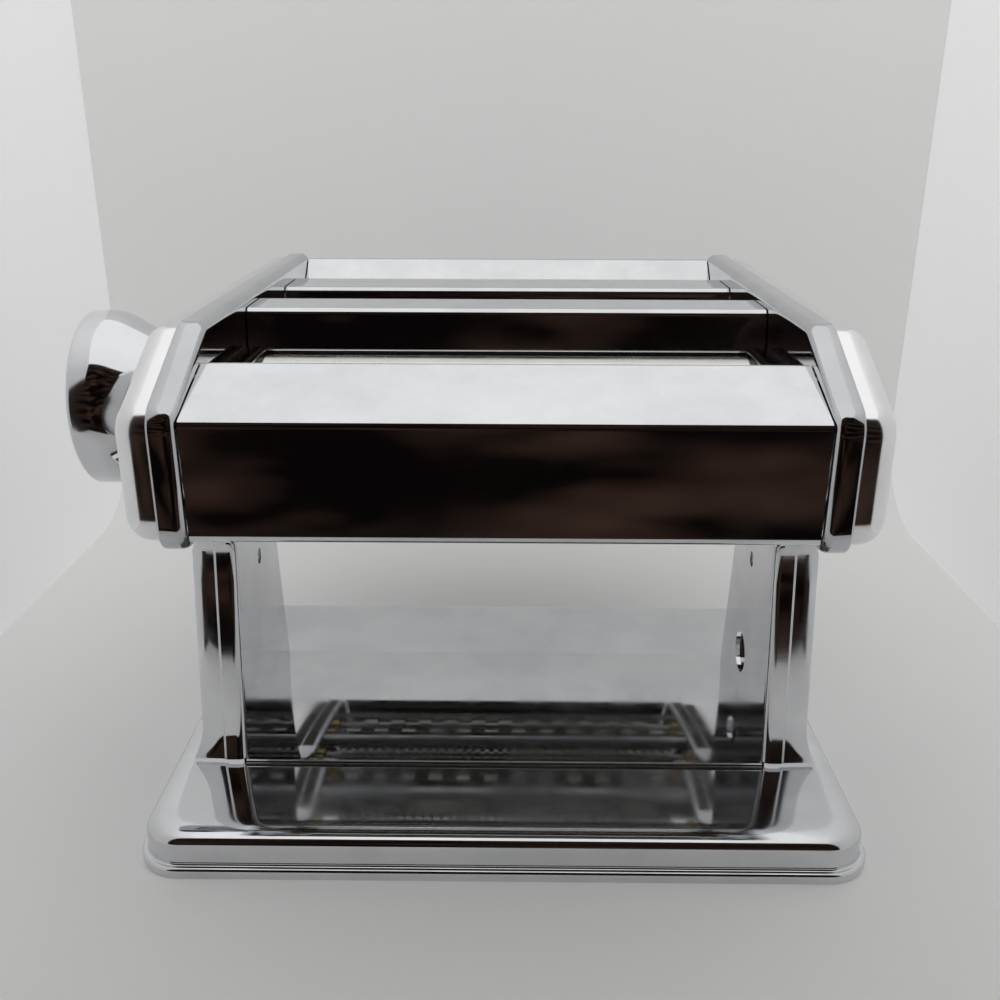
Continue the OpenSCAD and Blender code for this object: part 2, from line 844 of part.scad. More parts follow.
module front_roller_gear() {
  color(steel) roller_gear(front_roller_y, 0, front_journal_r + seat_clear);
}

module rear_roller_gear() {
  color(steel) roller_gear(rear_roller_y, mate_turn(roller_teeth), rear_journal_r + seat_clear);
}

module fine_front_gear() {
  color(steel) cutter_gear(fine_front_y, 0);
}

module fine_rear_gear() {
  color(steel) cutter_gear(fine_rear_y, mate_turn(cutter_teeth));
}

module wide_front_gear() {
  color(steel) cutter_gear(wide_front_y, 0);
}

module wide_rear_gear() {
  color(steel) cutter_gear(wide_rear_y, mate_turn(cutter_teeth));
}

// Thickness regulator: floating bushes on the rear roller's journals, in eccentrics that turn in the frames

module roller_bushes() {
  x0 = half_in - collar_t;
  x1 = wall_x + collar_t - pass_gap;
  color(brass) both_sides() difference() {
    rod_x(rear_roller_y, roller_z, bush_r, x0, x1);
    rod_x(rear_roller_y, roller_z, rear_journal_r + run_clear, x0 - cut, x1 + cut);
  }
}

module eccentric_ring() {
  x0 = half_in - pass_gap - link_arm_t;
  x1 = wall_x + collar_t;
  difference() {
    rod_x(rear_roller_y, regulator_z, eccentric_r, x0, x1);
    rod_x(rear_roller_y, roller_z, bush_r + run_clear, x0 - cut, x1 + cut);
  }
}

module left_eccentric() {
  x1 = wall_x + collar_t;
  color(steel) mirror([1, 0, 0]) {
    eccentric_ring();
    rod_x(rear_roller_y, regulator_z, eccentric_r, x1, x1 + 2 * collar_t);
    rod_x(rear_roller_y, regulator_z, spindle_r, x1, spindle_end);
  }
}

module right_eccentric() {
  color(steel) eccentric_ring();
}

// Two arms on the eccentrics and a bar that keeps them in step, behind and below the roller
module eccentric_link() {
  arm_in = half_in - pass_gap - link_arm_t;
  arm_out = half_in - pass_gap;
  color(steel) translate([0, rear_roller_y, regulator_z]) rotate([link_rest, 0, 0]) {
    both_sides() difference() {
      union() {
        rod_x(0, 0, link_ring_r, arm_in, arm_out);
        translate([arm_in, 0, -2 * link_r]) cube([link_arm_t, link_reach, 4 * link_r]);
        rod_x(link_reach, 0, 2 * link_r, arm_in, arm_out);
      }
      rod_x(0, 0, eccentric_r + seat_clear, arm_in - cut, arm_out + cut);
    }
    rod_x(link_reach, 0, link_r, -arm_in, arm_in);
  }
}

// Knob: a trumpet that slides on the spindle, with a pocket for its spring

function flare_r(s) = knob_neck_r + (knob_rim_r - knob_neck_r) * (1 - cos(180 * s)) / 2;

module knob_body() {
  steps = 10;
  rim_round = knob_rim_w / 2;
  polygon(concat(
    [[0, knob_in]],
    [for (i = [0 : steps]) [flare_r(i / steps), knob_in + knob_flare * i / steps]],
    [for (a = [15 : 15 : 75])
      [knob_rim_r - rim_round * (1 - cos(a)), knob_end - rim_round + rim_round * sin(a)]],
    [[knob_rim_r - rim_round, knob_end], [0, knob_end]]
  ));
}

module regulator_knob() {
  color(chrome) mirror([1, 0, 0]) difference() {
    turned_x(rear_roller_y, regulator_z) knob_body();
    rod_x(rear_roller_y, regulator_z, spindle_r + run_clear, knob_in - cut, knob_end);
    rod_x(rear_roller_y, regulator_z, pocket_r, knob_in + knob_web, knob_end + cut);
    rod_x(rear_roller_y, regulator_z, knob_cap_r + seat_clear, knob_end - 2 * knob_cap_t, knob_end + cut);
    rod_x(rear_roller_y, regulator_z + index_r, pin_r + seat_clear, knob_in - cut, knob_in + knob_web / 2);
  }
}

knob_cap_t = 1.5;
knob_cap_r = pocket_r + 3;

module knob_cap() {
  color(chrome) mirror([1, 0, 0])
    rod_x(rear_roller_y, regulator_z, knob_cap_r, knob_end - 2 * knob_cap_t, knob_end - knob_cap_t);
}

// The index pin's nose stands just clear of the holes in the end cover
module index_pin() {
  color(steel) mirror([1, 0, 0])
    rod_x(rear_roller_y, regulator_z + index_r, pin_r, end_x + pass_gap / 2, knob_in + knob_web / 2 - seat_clear);
}

module spindle_washer() {
  color(steel) mirror([1, 0, 0]) difference() {
    rod_x(rear_roller_y, regulator_z, pocket_r - pass_gap, spindle_end - washer_t, spindle_end);
    rod_x(rear_roller_y, regulator_z, spindle_r + seat_clear, spindle_end - washer_t - cut, spindle_end + cut);
  }
}

module knob_spring() {
  sides = 6;
  rings_per_turn = 12;
  start = knob_in + knob_web + spring_wire_r + pass_gap / 2;
  stop = spindle_end - washer_t - spring_wire_r - pass_gap / 2;
  count = spring_turns * rings_per_turn;
  rings = [for (k = [0 : count])
    let (a = 360 * k / rings_per_turn, x = start + (stop - start) * k / count)
    [for (j = [0 : sides - 1])
      let (b = 360 * j / sides, r = spring_r + spring_wire_r * cos(b))
      [x + spring_wire_r * sin(b), r * cos(a), r * sin(a)]]];
  color(spring_steel) mirror([1, 0, 0]) translate([0, rear_roller_y, regulator_z]) loft(rings);
}

// Stand: two legs with folded flanges and a plate between their feet

waist_h = leg_h - shoulder_h;
flare_h = waist_h / 5;
shoulder_narrowing = 0.95;

// The edge of a leg, from its foot to its shoulder: distance from the middle and height above the base
function leg_edge(foot, start) = concat(
  [for (h = [start, flare_h / 3, 2 * flare_h / 3, flare_h, waist_h]) [foot - leg_lean * h, h]],
  [for (k = [1 : arc_steps])
    let (a = 90 * k / arc_steps)
    [
      foot - leg_lean * waist_h + shoulder_run * (1 - cos(a)),
      waist_h + (shoulder_h - 4 * leg_t / 3) * sin(a)
    ]]
);

// Share of the foot's flare that is left at a height above the base
function flare_left(h) = pow(max(0, 1 - h / flare_h), 2);

// Share of the second facet's width at a height: full to the waist, narrow under the head
function facet_share(h) = h < waist_h ? 1 : 1 - shoulder_narrowing * (h - waist_h) / shoulder_h;

// One station of the folded flange, at an edge point with its inward normal
function flange_ring(p, n) =
  let (w = facet_out * facet_share(p[1]) + foot_flare * flare_left(p[1]))
  let (a = facet_turn, knee = [facet_in, 0], far = knee + w * [cos(a), sin(a)])
  [for (q = [
      knee + leg_t * [-tan(a / 2), 1], [0, leg_t], [0, 0],
      knee, far, far + leg_t * [-sin(a), cos(a)]
    ])
    [half_in + q[0], p[0] + n[0] * q[1], p[1] + n[1] * q[1]]];

module leg_flange(foot) {
  path = leg_edge(foot, foot_lift);
  loft([for (i = [0 : len(path) - 1]) flange_ring(path[i], path_normal(path, i))]);
}

// Half of the leg's wall, from the middle to half way through the flange
function wall_edge(foot) =
  let (path = leg_edge(foot, 0))
  [for (i = [0 : len(path) - 1]) path[i] + leg_t / 2 * path_normal(path, i)];

// A leg with its foot on z = 0 and its wall's inner face on the side frame's
module leg() {
  front = wall_edge(foot_front);
  rear = wall_edge(foot_rear);
  last = len(front) - 1;
  wall_top = leg_h - leg_t / 2;
  across(half_in, half_in + leg_t)
    polygon(concat(
      [[-front[0][0], 0]],
      [for (i = [1 : last]) [-front[i][0], front[i][1]]],
      [[-front[last][0], wall_top], [rear[last][0], wall_top]],
      [for (i = [last : -1 : 1]) rear[i]],
      [[rear[0][0], 0]]
    ));
  translate([half_in, -front[last][0] - leg_t, leg_h - leg_t])
    cube([flange_d, front[last][0] + rear[last][0] + 2 * leg_t, leg_t]);
  leg_flange(foot_rear);
  mirror([0, 1, 0]) leg_flange(foot_front);
}

slot_w = 2;
slot_len = 6;
slot_drop = 30;
slot_y = -4;

module leg_cuts() {
  for (y = rivet_ys)
    translate([rivet_x, y, leg_h - leg_t - cut]) cylinder(r = rivet_r + seat_clear, h = leg_t + 2 * cut);
  translate([half_in - cut, slot_y - slot_w / 2, leg_h - slot_drop - slot_len / 2])
    cube([leg_t + 2 * cut, slot_w, slot_len]);
}

module left_leg() {
  color(chrome) mirror([1, 0, 0]) translate([0, 0, base_h]) difference() {
    leg();
    leg_cuts();
  }
}

module right_leg() {
  color(chrome) translate([0, 0, base_h]) difference() {
    leg();
    leg_cuts();
    rod_x(0, clamp_hole_rise, clamp_hole_r, half_in - cut, half_in + leg_t + cut);
  }
}

module leg_rivets() {
  color(steel)
    for (y = rivet_ys)
      both_sides() translate([rivet_x, y, head_z]) {
        translate([0, 0, -leg_t - rivet_head]) cylinder(r = rivet_r, h = leg_t + frame_t + 2 * rivet_head);
        translate([0, 0, -leg_t - rivet_head]) cylinder(r = rivet_head_r, h = rivet_head);
        translate([0, 0, frame_t]) cylinder(r = rivet_head_r, h = rivet_head);
      }
}

screw_inset = 12;
screw_xs = [-half_in + 2 * screw_inset, half_in - 2 * screw_inset];
screw_ys = [-foot_front + screw_inset, foot_rear - screw_inset];

module stand_plate() {
  color(chrome) difference() {
    translate([-half_in, -foot_front, base_h]) cube([2 * half_in, foot_front + foot_rear, plate_t]);
    for (x = screw_xs, y = screw_ys)
      translate([x, y, base_h - cut]) cylinder(r = screw_r + seat_clear, h = cut + plate_t / 2);
  }
}

module base_screws() {
  color(steel)
    for (x = screw_xs, y = screw_ys)
      translate([x, y, base_h - base_t]) {
        cylinder(r = screw_r, h = base_t + plate_t / 2 - seat_clear);
        translate([0, 0, -screw_head]) cylinder(r = screw_head_r, h = screw_head);
      }
}

// Base: a pressed pan that stands on its turned lip

base_x = half_in + base_side;
base_outline = [
  [-base_x, -base_d / 2],
  [base_x, -base_d / 2],
  [base_x, base_d / 2],
  [-base_x, base_d / 2]
];

module base_edge() {
  square([base_t, foot_lip_h]);
  translate([0, foot_lip_h - base_t]) square([foot_lip_w + base_t, base_t]);
  translate([foot_lip_w, foot_lip_h - base_t])
    turned_edge(base_r - foot_lip_w, base_h - foot_lip_h + base_t, base_t, base_edge_r);
}

module base_pan() {
  color(chrome) difference() {
    union() {
      carry_round(base_outline, base_r) base_edge();
      translate([0, 0, base_h - base_t]) linear_extrude(base_t) polygon(inset(base_outline, base_r));
    }
    for (x = screw_xs, y = screw_ys)
      translate([x, y, base_h - base_t - cut]) cylinder(r = screw_r + seat_clear, h = base_t + 2 * cut);
  }
}

base_pan();
stand_plate();
left_leg();
right_leg();
base_screws();
leg_rivets();
left_side_frame();
right_side_frame();
front_hood();
middle_cover();
rear_cover();
rear_hood();
left_end_cover();
right_end_cover();
tie_rods();
tie_rod_nuts();
left_roller_guard();
right_roller_guard();
front_scraper();
rear_scraper();
fine_front_comb();
fine_rear_comb();
wide_front_comb();
wide_rear_comb();
roller_bearings();
cutter_bearings();
front_roller();
front_roller_gear();
rear_roller();
rear_roller_gear();
roller_bushes();
left_eccentric();
right_eccentric();
eccentric_link();
spindle_washer();
regulator_knob();
knob_cap();
index_pin();
knob_spring();
fine_front_cutter();
fine_rear_cutter();
fine_front_gear();
fine_rear_gear();
wide_front_cutter();
wide_rear_cutter();
wide_front_gear();
wide_rear_gear();
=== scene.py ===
# %% [markdown]
# # A hand cranked pasta machine
# The machine is pressed from chromed steel sheet. Two side frames carry the rollers and cutters, hoods
# and covers close the head between them, satin domes close its ends, and a two-legged stand holds the
# head over a pressed base. The exact solids are loaded first and never change: they say where
# everything is and how it moves. This lesson then lays a smooth surface over each part that shows.

# %% The fixed frame
import json

import bmesh
import bpy
import numpy as np
from mathutils import Matrix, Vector
from mathutils.geometry import delaunay_2d_cdt


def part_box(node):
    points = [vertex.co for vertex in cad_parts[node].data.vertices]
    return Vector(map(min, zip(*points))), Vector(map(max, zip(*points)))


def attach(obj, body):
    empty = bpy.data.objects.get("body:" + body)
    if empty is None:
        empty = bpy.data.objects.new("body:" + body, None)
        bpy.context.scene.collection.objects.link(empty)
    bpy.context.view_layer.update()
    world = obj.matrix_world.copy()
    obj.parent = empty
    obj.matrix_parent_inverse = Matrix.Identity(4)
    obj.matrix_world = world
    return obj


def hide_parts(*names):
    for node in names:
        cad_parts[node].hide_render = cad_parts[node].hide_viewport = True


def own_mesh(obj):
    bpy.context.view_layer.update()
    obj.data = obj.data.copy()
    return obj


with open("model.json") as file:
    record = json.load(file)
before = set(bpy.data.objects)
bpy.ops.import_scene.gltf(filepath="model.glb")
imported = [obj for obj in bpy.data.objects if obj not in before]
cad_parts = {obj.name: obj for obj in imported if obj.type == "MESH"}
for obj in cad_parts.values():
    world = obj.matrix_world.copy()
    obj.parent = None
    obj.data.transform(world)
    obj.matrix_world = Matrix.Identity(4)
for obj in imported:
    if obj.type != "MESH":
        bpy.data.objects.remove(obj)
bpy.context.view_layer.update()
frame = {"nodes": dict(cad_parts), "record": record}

# %% [markdown]
# ## Sizes from the frame
# Blender works in metres, so a millimetre gets a name. The places of the big parts are read from the
# boxes of their solids, and only sheet thicknesses, bends and bevels are written down here.

# %% Places of the main parts
MM = 0.001


def span(node):
    """Lowest and highest corner of a solid, as arrays."""
    low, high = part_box(node)
    return np.array(low), np.array(high)


def axis_of(node):
    """Y and Z of the X-axis that a round solid turns about: the middle of its box."""
    low, high = span(node)
    return (low + high)[1:] / 2


(WALL, HEAD_FRONT, HEAD_LOW), (RIM, HEAD_REAR, HEAD_TOP) = span("right_side_frame")
(_, FOOT_FRONT, BASE_TOP), (_, FOOT_REAR, PLATE_TOP) = span("stand_plate")
COVER_FACE = span("right_end_cover")[1][0]
CREASE_RISE = 38.5 * MM
CREASE = HEAD_LOW + CREASE_RISE
front_axis, rear_axis = axis_of("front_roller"), axis_of("rear_roller")
knob_axis = axis_of("regulator_knob")
roller_radius = np.ptp(span("rear_roller"), axis=0)[2] / 2
cutter_names = ("fine_front_cutter", "fine_rear_cutter", "wide_front_cutter", "wide_rear_cutter")
cutter_axes = np.array([axis_of(name) for name in cutter_names])
print("side frames at", round(WALL / MM, 1), "mm, head top at", round(HEAD_TOP / MM, 1), "mm")

# %% [markdown]
# ## Bent sheet
# Almost every part is bent sheet, so it pays to have one good bend. A path is given by its corners, and
# each corner becomes an arc. A mirror finish shows every shading fault: if a flat shares its edge points
# with an arc, the arc's tilted normals bleed across the whole flat. So the path gets a holding point on
# the straight just before and just after each arc, and the flats stay flat.

# %% Paths with rounded corners
HOLD, OUTLINE_HOLD = 0.3 * MM, 0.6 * MM


def unit(v):
    """Directions brought to length one."""
    return v / np.linalg.norm(v, axis=-1, keepdims=True)


def left(v):
    """Directions turned a quarter to the left: (-y, x)."""
    return np.stack([-v[..., 1], v[..., 0]], axis=-1)


def bent(corners, radius, steps=10, closed=False, hold=HOLD):
    """Corners joined by straight runs and arcs.

    With u and v the directions into and out of a corner and t the turn between them, the arc starts
    r tan(t/2) before the corner. Its point at angle a is centre + r (u sin a - m cos a), where m points
    from the path to the arc's centre.
    """
    p = np.asarray(corners, float)
    if closed:
        before, at, after = np.roll(p, 1, 0), p, np.roll(p, -1, 0)
    else:
        before, at, after = p[:-2], p[1:-1], p[2:]
    u, v = unit(at - before), unit(after - at)
    r = np.broadcast_to(radius, len(at))[:, None]
    turn = np.arccos(np.clip((u * v).sum(1, keepdims=True), -1, 1))
    m = np.sign((left(u) * v).sum(1, keepdims=True)) * left(u)
    back = r * np.tan(turn / 2)
    centre = at - u * back + m * r
    a = turn[:, None] * np.linspace(0, 1, steps + 1)[None, :, None]
    arc = centre[:, None] + r[:, None] * (u[:, None] * np.sin(a) - m[:, None] * np.cos(a))
    ends = (at - u * (back + hold))[:, None], (at + v * (back + hold))[:, None]
    path = np.concatenate([ends[0], arc, ends[1]], axis=1).reshape(-1, 2)
    return path if closed else np.vstack([p[:1], path, p[-1:]])


def beside(path, distance, closed=False):
    """A path moved to its left by a distance.

    A point moves along (m + n) / (1 + m.n), where m and n are the left normals of the runs that meet
    there, so that both runs end up at the same distance.
    """
    runs = left(unit(np.diff(np.vstack([path, path[:1]]) if closed else path, axis=0)))
    m = np.roll(runs, 1, 0) if closed else np.vstack([runs[:1], runs])
    n = runs if closed else np.vstack([runs, runs[-1:]])
    return path + distance * (m + n) / (1 + (m * n).sum(1, keepdims=True))


def round_edge(point, along, thickness, steps=6):
    """The half circle that ends a sheet, from one face to the other: centre + t/2 (e sin a - n cos a)."""
    n = np.sign(thickness) * left(along)
    half = abs(thickness) / 2
    a = np.linspace(0, np.pi, steps + 1)[1:-1, None]
    return point + n * half + half * (along * np.sin(a) - n * np.cos(a))


def sheet(path, thickness, both_ends=True):
    """The outline of a sheet on the left of a path (on its right where the thickness is negative).

    It runs along the path, round the free edge and back along the other face. With both_ends it closes
    round the first edge too, and otherwise it stays open there, where it joins another part.
    """
    path = path.copy()
    ahead, behind = unit(path[-1] - path[-2]), unit(path[0] - path[1])
    path[-1] -= ahead * abs(thickness) / 2
    if both_ends:
        path[0] -= behind * abs(thickness) / 2
    back = beside(path, thickness)[::-1]
    parts = [path, round_edge(path[-1], ahead, thickness), back]
    if both_ends:
        parts.append(round_edge(path[0], behind, -thickness)[::-1])
    return np.vstack(parts)


print("a right angle bend takes", len(bent([(0, 0), (1, 0), (1, 1)], 0.1)), "points")

# %% [markdown]
# ## From grids to meshes
# A surface is a grid of points, and its faces join neighbours on the grid. numpy makes both as whole
# arrays. Parts that belong together go into one mesh, where points that fall on each other are merged
# and the faces are turned to point outwards. The grids' quads are shaded smooth, except where two of them
# meet at more than a set angle, and the panels' triangles stay flat.

# %% Grids, panels and pieces
MERGE, SHARP = MM / 500, 32
ALL_TRIANGLES, SAME_POINT = 0, 1e-6


def upright(flat, x):
    """Points drawn in Y and Z, placed at X."""
    return np.stack(np.broadcast_arrays(x, flat[..., 0], flat[..., 1]), axis=-1)


def level(flat, z):
    """Points drawn in X and Y, placed at Z."""
    return np.stack(np.broadcast_arrays(flat[..., 0], flat[..., 1], z), axis=-1)


def surface(grid, wrap_rows=False, wrap_columns=True, caps=False):
    """Points and faces of a grid.

    The face at row i and column j joins (i, j), (i, j+1), (i+1, j+1) and (i+1, j).
    """
    rows, columns = grid.shape[:2]
    i = np.arange(rows - (not wrap_rows))[:, None]
    j = np.arange(columns - (not wrap_columns))[None, :]
    up, across = (i + 1) % rows, (j + 1) % columns
    here, above = i * columns, up * columns
    corners = np.broadcast_arrays(here + j, here + across, above + across, above + j)
    faces = np.stack(corners, axis=-1).reshape(-1, 4).tolist()
    if caps:
        faces += [list(range(columns)), list(range((rows - 1) * columns, rows * columns))]
    return grid.reshape(-1, 3), faces


def panel(outline, holes, place, height):
    """A flat sheet with holes: the outline and the holes' rims, joined by triangles in their plane.

    A line from the middle of a triangle to the right crosses the rims an odd number of times where the
    triangle lies in the sheet. The other triangles fill holes and hollows, and are left out.
    """
    loops = [outline, *holes]
    flat = np.vstack(loops) / MM
    ends = np.cumsum([len(loop) for loop in loops])
    following = np.arange(len(flat)) + 1
    following[ends - 1] = ends - [len(loop) for loop in loops]
    edges = np.stack([np.arange(len(flat)), following], axis=-1)
    corners, _, triangles, *_ = delaunay_2d_cdt(
        flat.tolist(), edges.tolist(), [], ALL_TRIANGLES, SAME_POINT
    )
    corners, triangles = np.array(corners), np.array(triangles)
    x, y = corners[triangles].mean(axis=1).T[:, :, None]
    (x0, y0), (x1, y1) = flat.T, flat[following].T
    meets = (y0 > y) != (y1 > y)
    rise = np.where(y1 == y0, 1.0, y1 - y0)
    crossed = meets & (x < x0 + (x1 - x0) * (y - y0) / rise)
    return place(corners * MM, height), triangles[crossed.sum(axis=1) % 2 == 1].tolist()


def ring(centre, radius, steps=48):
    """Points of a circle: centre + r (cos a, sin a)."""
    a = np.linspace(0, 2 * np.pi, steps, endpoint=False)
    return np.asarray(centre) + radius * np.stack([np.cos(a), np.sin(a)], axis=-1)


def plate_faces(outline, holes, place, low, high):
    """Both faces of a flat plate and the walls of its holes."""
    walls = [surface(place(hole[None], np.array([[low], [high]]))) for hole in holes]
    return [panel(outline, holes, place, low), panel(outline, holes, place, high), *walls]


def along_x(section, ends):
    """A closed section drawn in Y and Z, carried along X."""
    return surface(upright(section[None], np.asarray(ends, float)[:, None]), caps=True)


def along_y(section, ends):
    """A closed section drawn in X and Z, carried along Y."""
    places = np.asarray(ends, float)[:, None]
    grid = np.stack(np.broadcast_arrays(section[None, :, 0], places, section[None, :, 1]), axis=-1)
    return surface(grid, caps=True)


def turned(profile, axis, steps):
    """A profile of radius and X turned about an axis: (x, y + r cos a, z + r sin a)."""
    a = np.linspace(0, 2 * np.pi, steps, endpoint=False)
    r, x = profile[:, :1], profile[:, 1:]
    y, z = axis[0] + r * np.cos(a), axis[1] + r * np.sin(a)
    return surface(np.stack(np.broadcast_arrays(x, y, z), axis=-1))


def mirrored(parts):
    """The same parts on the other side of the machine."""
    return [(points * [-1, 1, 1], faces) for points, faces in parts]


def piece(name, parts, finish, body="machine", sharp=SHARP):
    """One mesh of several parts, which rides on a body and stands for the solids of the same name."""
    starts = np.cumsum([0] + [len(points) for points, _ in parts])
    faces = [[k + start for k in face] for start, (_, part) in zip(starts, parts) for face in part]
    mesh = bpy.data.meshes.new(name)
    mesh.from_pydata(np.vstack([points for points, _ in parts]).tolist(), [], faces)
    work = bmesh.new()
    work.from_mesh(mesh)
    bmesh.ops.remove_doubles(work, verts=work.verts, dist=MERGE)
    bmesh.ops.recalc_face_normals(work, faces=work.faces)
    work.to_mesh(mesh)
    work.free()
    corners = np.empty(len(mesh.polygons), np.int32)
    mesh.polygons.foreach_get("loop_total", corners)
    mesh.set_sharp_from_angle(angle=np.radians(sharp))
    mesh.polygons.foreach_set("use_smooth", corners == 4)
    made = bpy.data.objects.new(name + "_surface", mesh)
    bpy.context.scene.collection.objects.link(made)
    made.data.materials.append(finish["material"])
    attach(made, body)
    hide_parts(name)
    print(name, len(mesh.polygons), "faces")
    return made


print("a tube of 3 rings of 4 points has", len(surface(np.zeros((3, 4, 3)))[1]), "faces")

# %% [markdown]
# ## Finishes
# Chrome plate is almost a perfect mirror, so what it shows is the room. What makes it look real is what
# breaks the mirror: faint wiping marks that change the roughness in patches, hairline scratches, and
# the slight waviness of pressed sheet. Each is a noise on Object coordinates, at its real scale.

# %% A small kit for material nodes


class Nodes:
    """The nodes of one material, with short calls that add a node and return the socket it gives."""

    def __init__(self, name):
        self.material = bpy.data.materials.new(name)
        self.material.use_nodes = True
        self.tree = self.material.node_tree
        self.shader = self.tree.nodes["Principled BSDF"]
        self.place = self.add("ShaderNodeTexCoord").outputs["Object"]

    def add(self, kind, **settings):
        """A new node with its settings."""
        node = self.tree.nodes.new(kind)
        for key, value in settings.items():
            setattr(node, key, value)
        return node

    def plug(self, socket, value):
        """Link a socket to another one, or set it to a constant."""
        if isinstance(value, bpy.types.NodeSocket):
            self.tree.links.new(value, socket)
        else:
            socket.default_value = value

    def noise(self, stretch, detail=2.0, roughness=0.5):
        """Noise with this many cells to the metre along X, Y and Z."""
        mapping = self.add("ShaderNodeMapping")
        self.plug(mapping.inputs["Vector"], self.place)
        mapping.inputs["Scale"].default_value = stretch
        texture = self.add("ShaderNodeTexNoise")
        self.plug(texture.inputs["Vector"], mapping.outputs["Vector"])
        for key, value in (("Scale", 1.0), ("Detail", detail), ("Roughness", roughness)):
            texture.inputs[key].default_value = value
        return texture.outputs["Fac"]

    def ramp(self, fac, low, high, start=0.0, end=1.0):
        """A number that goes from start to end while fac goes from low to high."""
        node = self.add("ShaderNodeMapRange", clamp=True)
        keys = ("Value", "From Min", "From Max", "To Min", "To Max")
        for key, value in zip(keys, (fac, low, high, start, end)):
            self.plug(node.inputs[key], value)
        return node.outputs["Result"]

    def sums(self, operation, a, b):
        """A number worked out from two others."""
        node = self.add("ShaderNodeMath", operation=operation)
        self.plug(node.inputs[0], a)
        self.plug(node.inputs[1], b)
        return node.outputs["Value"]

    def mix(self, fac, a, b):
        """A colour between a and b."""
        node = self.add("ShaderNodeMix", data_type="RGBA")
        self.plug(node.inputs["Factor"], fac)
        for key, colour in (("A", a), ("B", b)):
            linked = isinstance(colour, bpy.types.NodeSocket)
            self.plug(node.inputs[key], colour if linked else (*colour, 1.0))
        return node.outputs["Result"]

    def bump(self, height, distance, normal=None):
        """A normal that leans with a height, on top of another normal if there is one."""
        node = self.add("ShaderNodeBump")
        node.inputs["Strength"].default_value = 1.0
        node.inputs["Distance"].default_value = distance
        self.plug(node.inputs["Height"], height)
        if normal is not None:
            self.plug(node.inputs["Normal"], normal)
        return node.outputs["Normal"]


TINTED, WORN, LINED = (0.35, 0.7), (0.4, 0.75), (0.3, 0.7)
LEAST_LINED, WAVES = 0.6, 22.0


def metal(name, slot, colours, roughness, smudge, grain, grain_depth, wave=0.0, dull_and_shade=None):
    """A plated or turned metal.

    colours are the tints that it drifts between, roughness its lowest and highest, smudge the cells to
    the metre of its wiping marks, grain the stretch of its hairlines with their depth, and wave the
    depth of the sheet's slow waviness. TINTED, WORN and LINED are the noise values between which the tint,
    the wear and the hairlines change over. With the last argument, a direction and two cosines, faces
    that point that way get a painted shade, a dark colour for the shade below and inside the head, and a
    higher roughness, which change over between the cosines.
    """
    n = Nodes(name)
    n.shader.inputs["Metallic"].default_value = 1.0
    marks = n.noise((smudge, smudge, smudge), detail=5.0, roughness=0.6)
    colour = n.mix(n.ramp(marks, *TINTED), *colours)
    lines = n.noise(grain, detail=3.0, roughness=0.7)
    worn = n.sums("MULTIPLY", n.ramp(marks, *WORN), n.ramp(lines, *LINED, LEAST_LINED, 1.0))
    # Painted shade: faces that point the given way are mixed towards a dark colour, and made rougher.
    if dull_and_shade:
        direction, start, end = dull_and_shade
        facing = n.add("ShaderNodeVectorMath", operation="DOT_PRODUCT")
        n.plug(facing.inputs[0], n.add("ShaderNodeNewGeometry").outputs["Normal"])
        facing.inputs[1].default_value = direction
        dull_and_shade_mask = n.ramp(facing.outputs["Value"], start, end)
        colour = n.mix(dull_and_shade_mask, colour, PAINTED_SHADE)
        worn = n.sums("MAXIMUM", worn, dull_and_shade_mask)
    n.plug(n.shader.inputs["Base Color"], colour)
    n.plug(n.shader.inputs["Roughness"], n.ramp(worn, 0.0, 1.0, *roughness))
    normal = n.bump(lines, grain_depth)
    if wave:
        normal = n.bump(n.noise((WAVES, WAVES, WAVES), detail=1.0), wave, normal=normal)
    n.plug(n.shader.inputs["Normal"], normal)
    return {"material": n.material, "slot": slot}


print("the node kit has", ", ".join(call for call in vars(Nodes) if not call.startswith("_")))

# %% The finishes of this machine
# The dark colour is a painted shade, laid on faces that point down and on faces that point into the head.
BRIGHT, PAINTED_SHADE = ((0.72, 0.73, 0.745), (0.62, 0.63, 0.65)), (0.05, 0.046, 0.042)
SHADE_BELOW, SHADE_INSIDE = ((0.0, 0.0, -1.0), 0.93, 0.98), (0.5, 0.6)
POLISH, WIPES = (0.035, 0.16), 38.0
HAIRLINES, HAIRLINE_DEPTH, WAVE_DEPTH = (90.0, 2600.0, 2600.0), 0.0006 * MM, 0.02 * MM


def sheet_chrome(name, inside=None):
    """Mirror chrome. With inside, the side of the sheet that points that way gets painted shade and more
    roughness.
    """
    dull_and_shade = (inside, *SHADE_INSIDE) if inside else None
    return metal(name, "chrome_sheet", BRIGHT, POLISH, WIPES, HAIRLINES, HAIRLINE_DEPTH, WAVE_DEPTH, dull_and_shade)


mirror_chrome = sheet_chrome("mirror chrome")
pan_chrome = metal(
    "pressed pan chrome", "chrome_sheet", BRIGHT, (0.05, 0.17), 30.0,
    (60.0, 2400.0, 2400.0), 0.0012 * MM, WAVE_DEPTH,
)
# The hood, the back panel and the covers get a painted shade on the faces that point down into the head.
front_chrome = sheet_chrome("front hood chrome", (0.0, 0.7, -0.7))
back_chrome = sheet_chrome("back panel chrome", (0.0, -0.7, -0.7))
cover_chrome = sheet_chrome("cover chrome", (0.0, 0.0, -1.0))
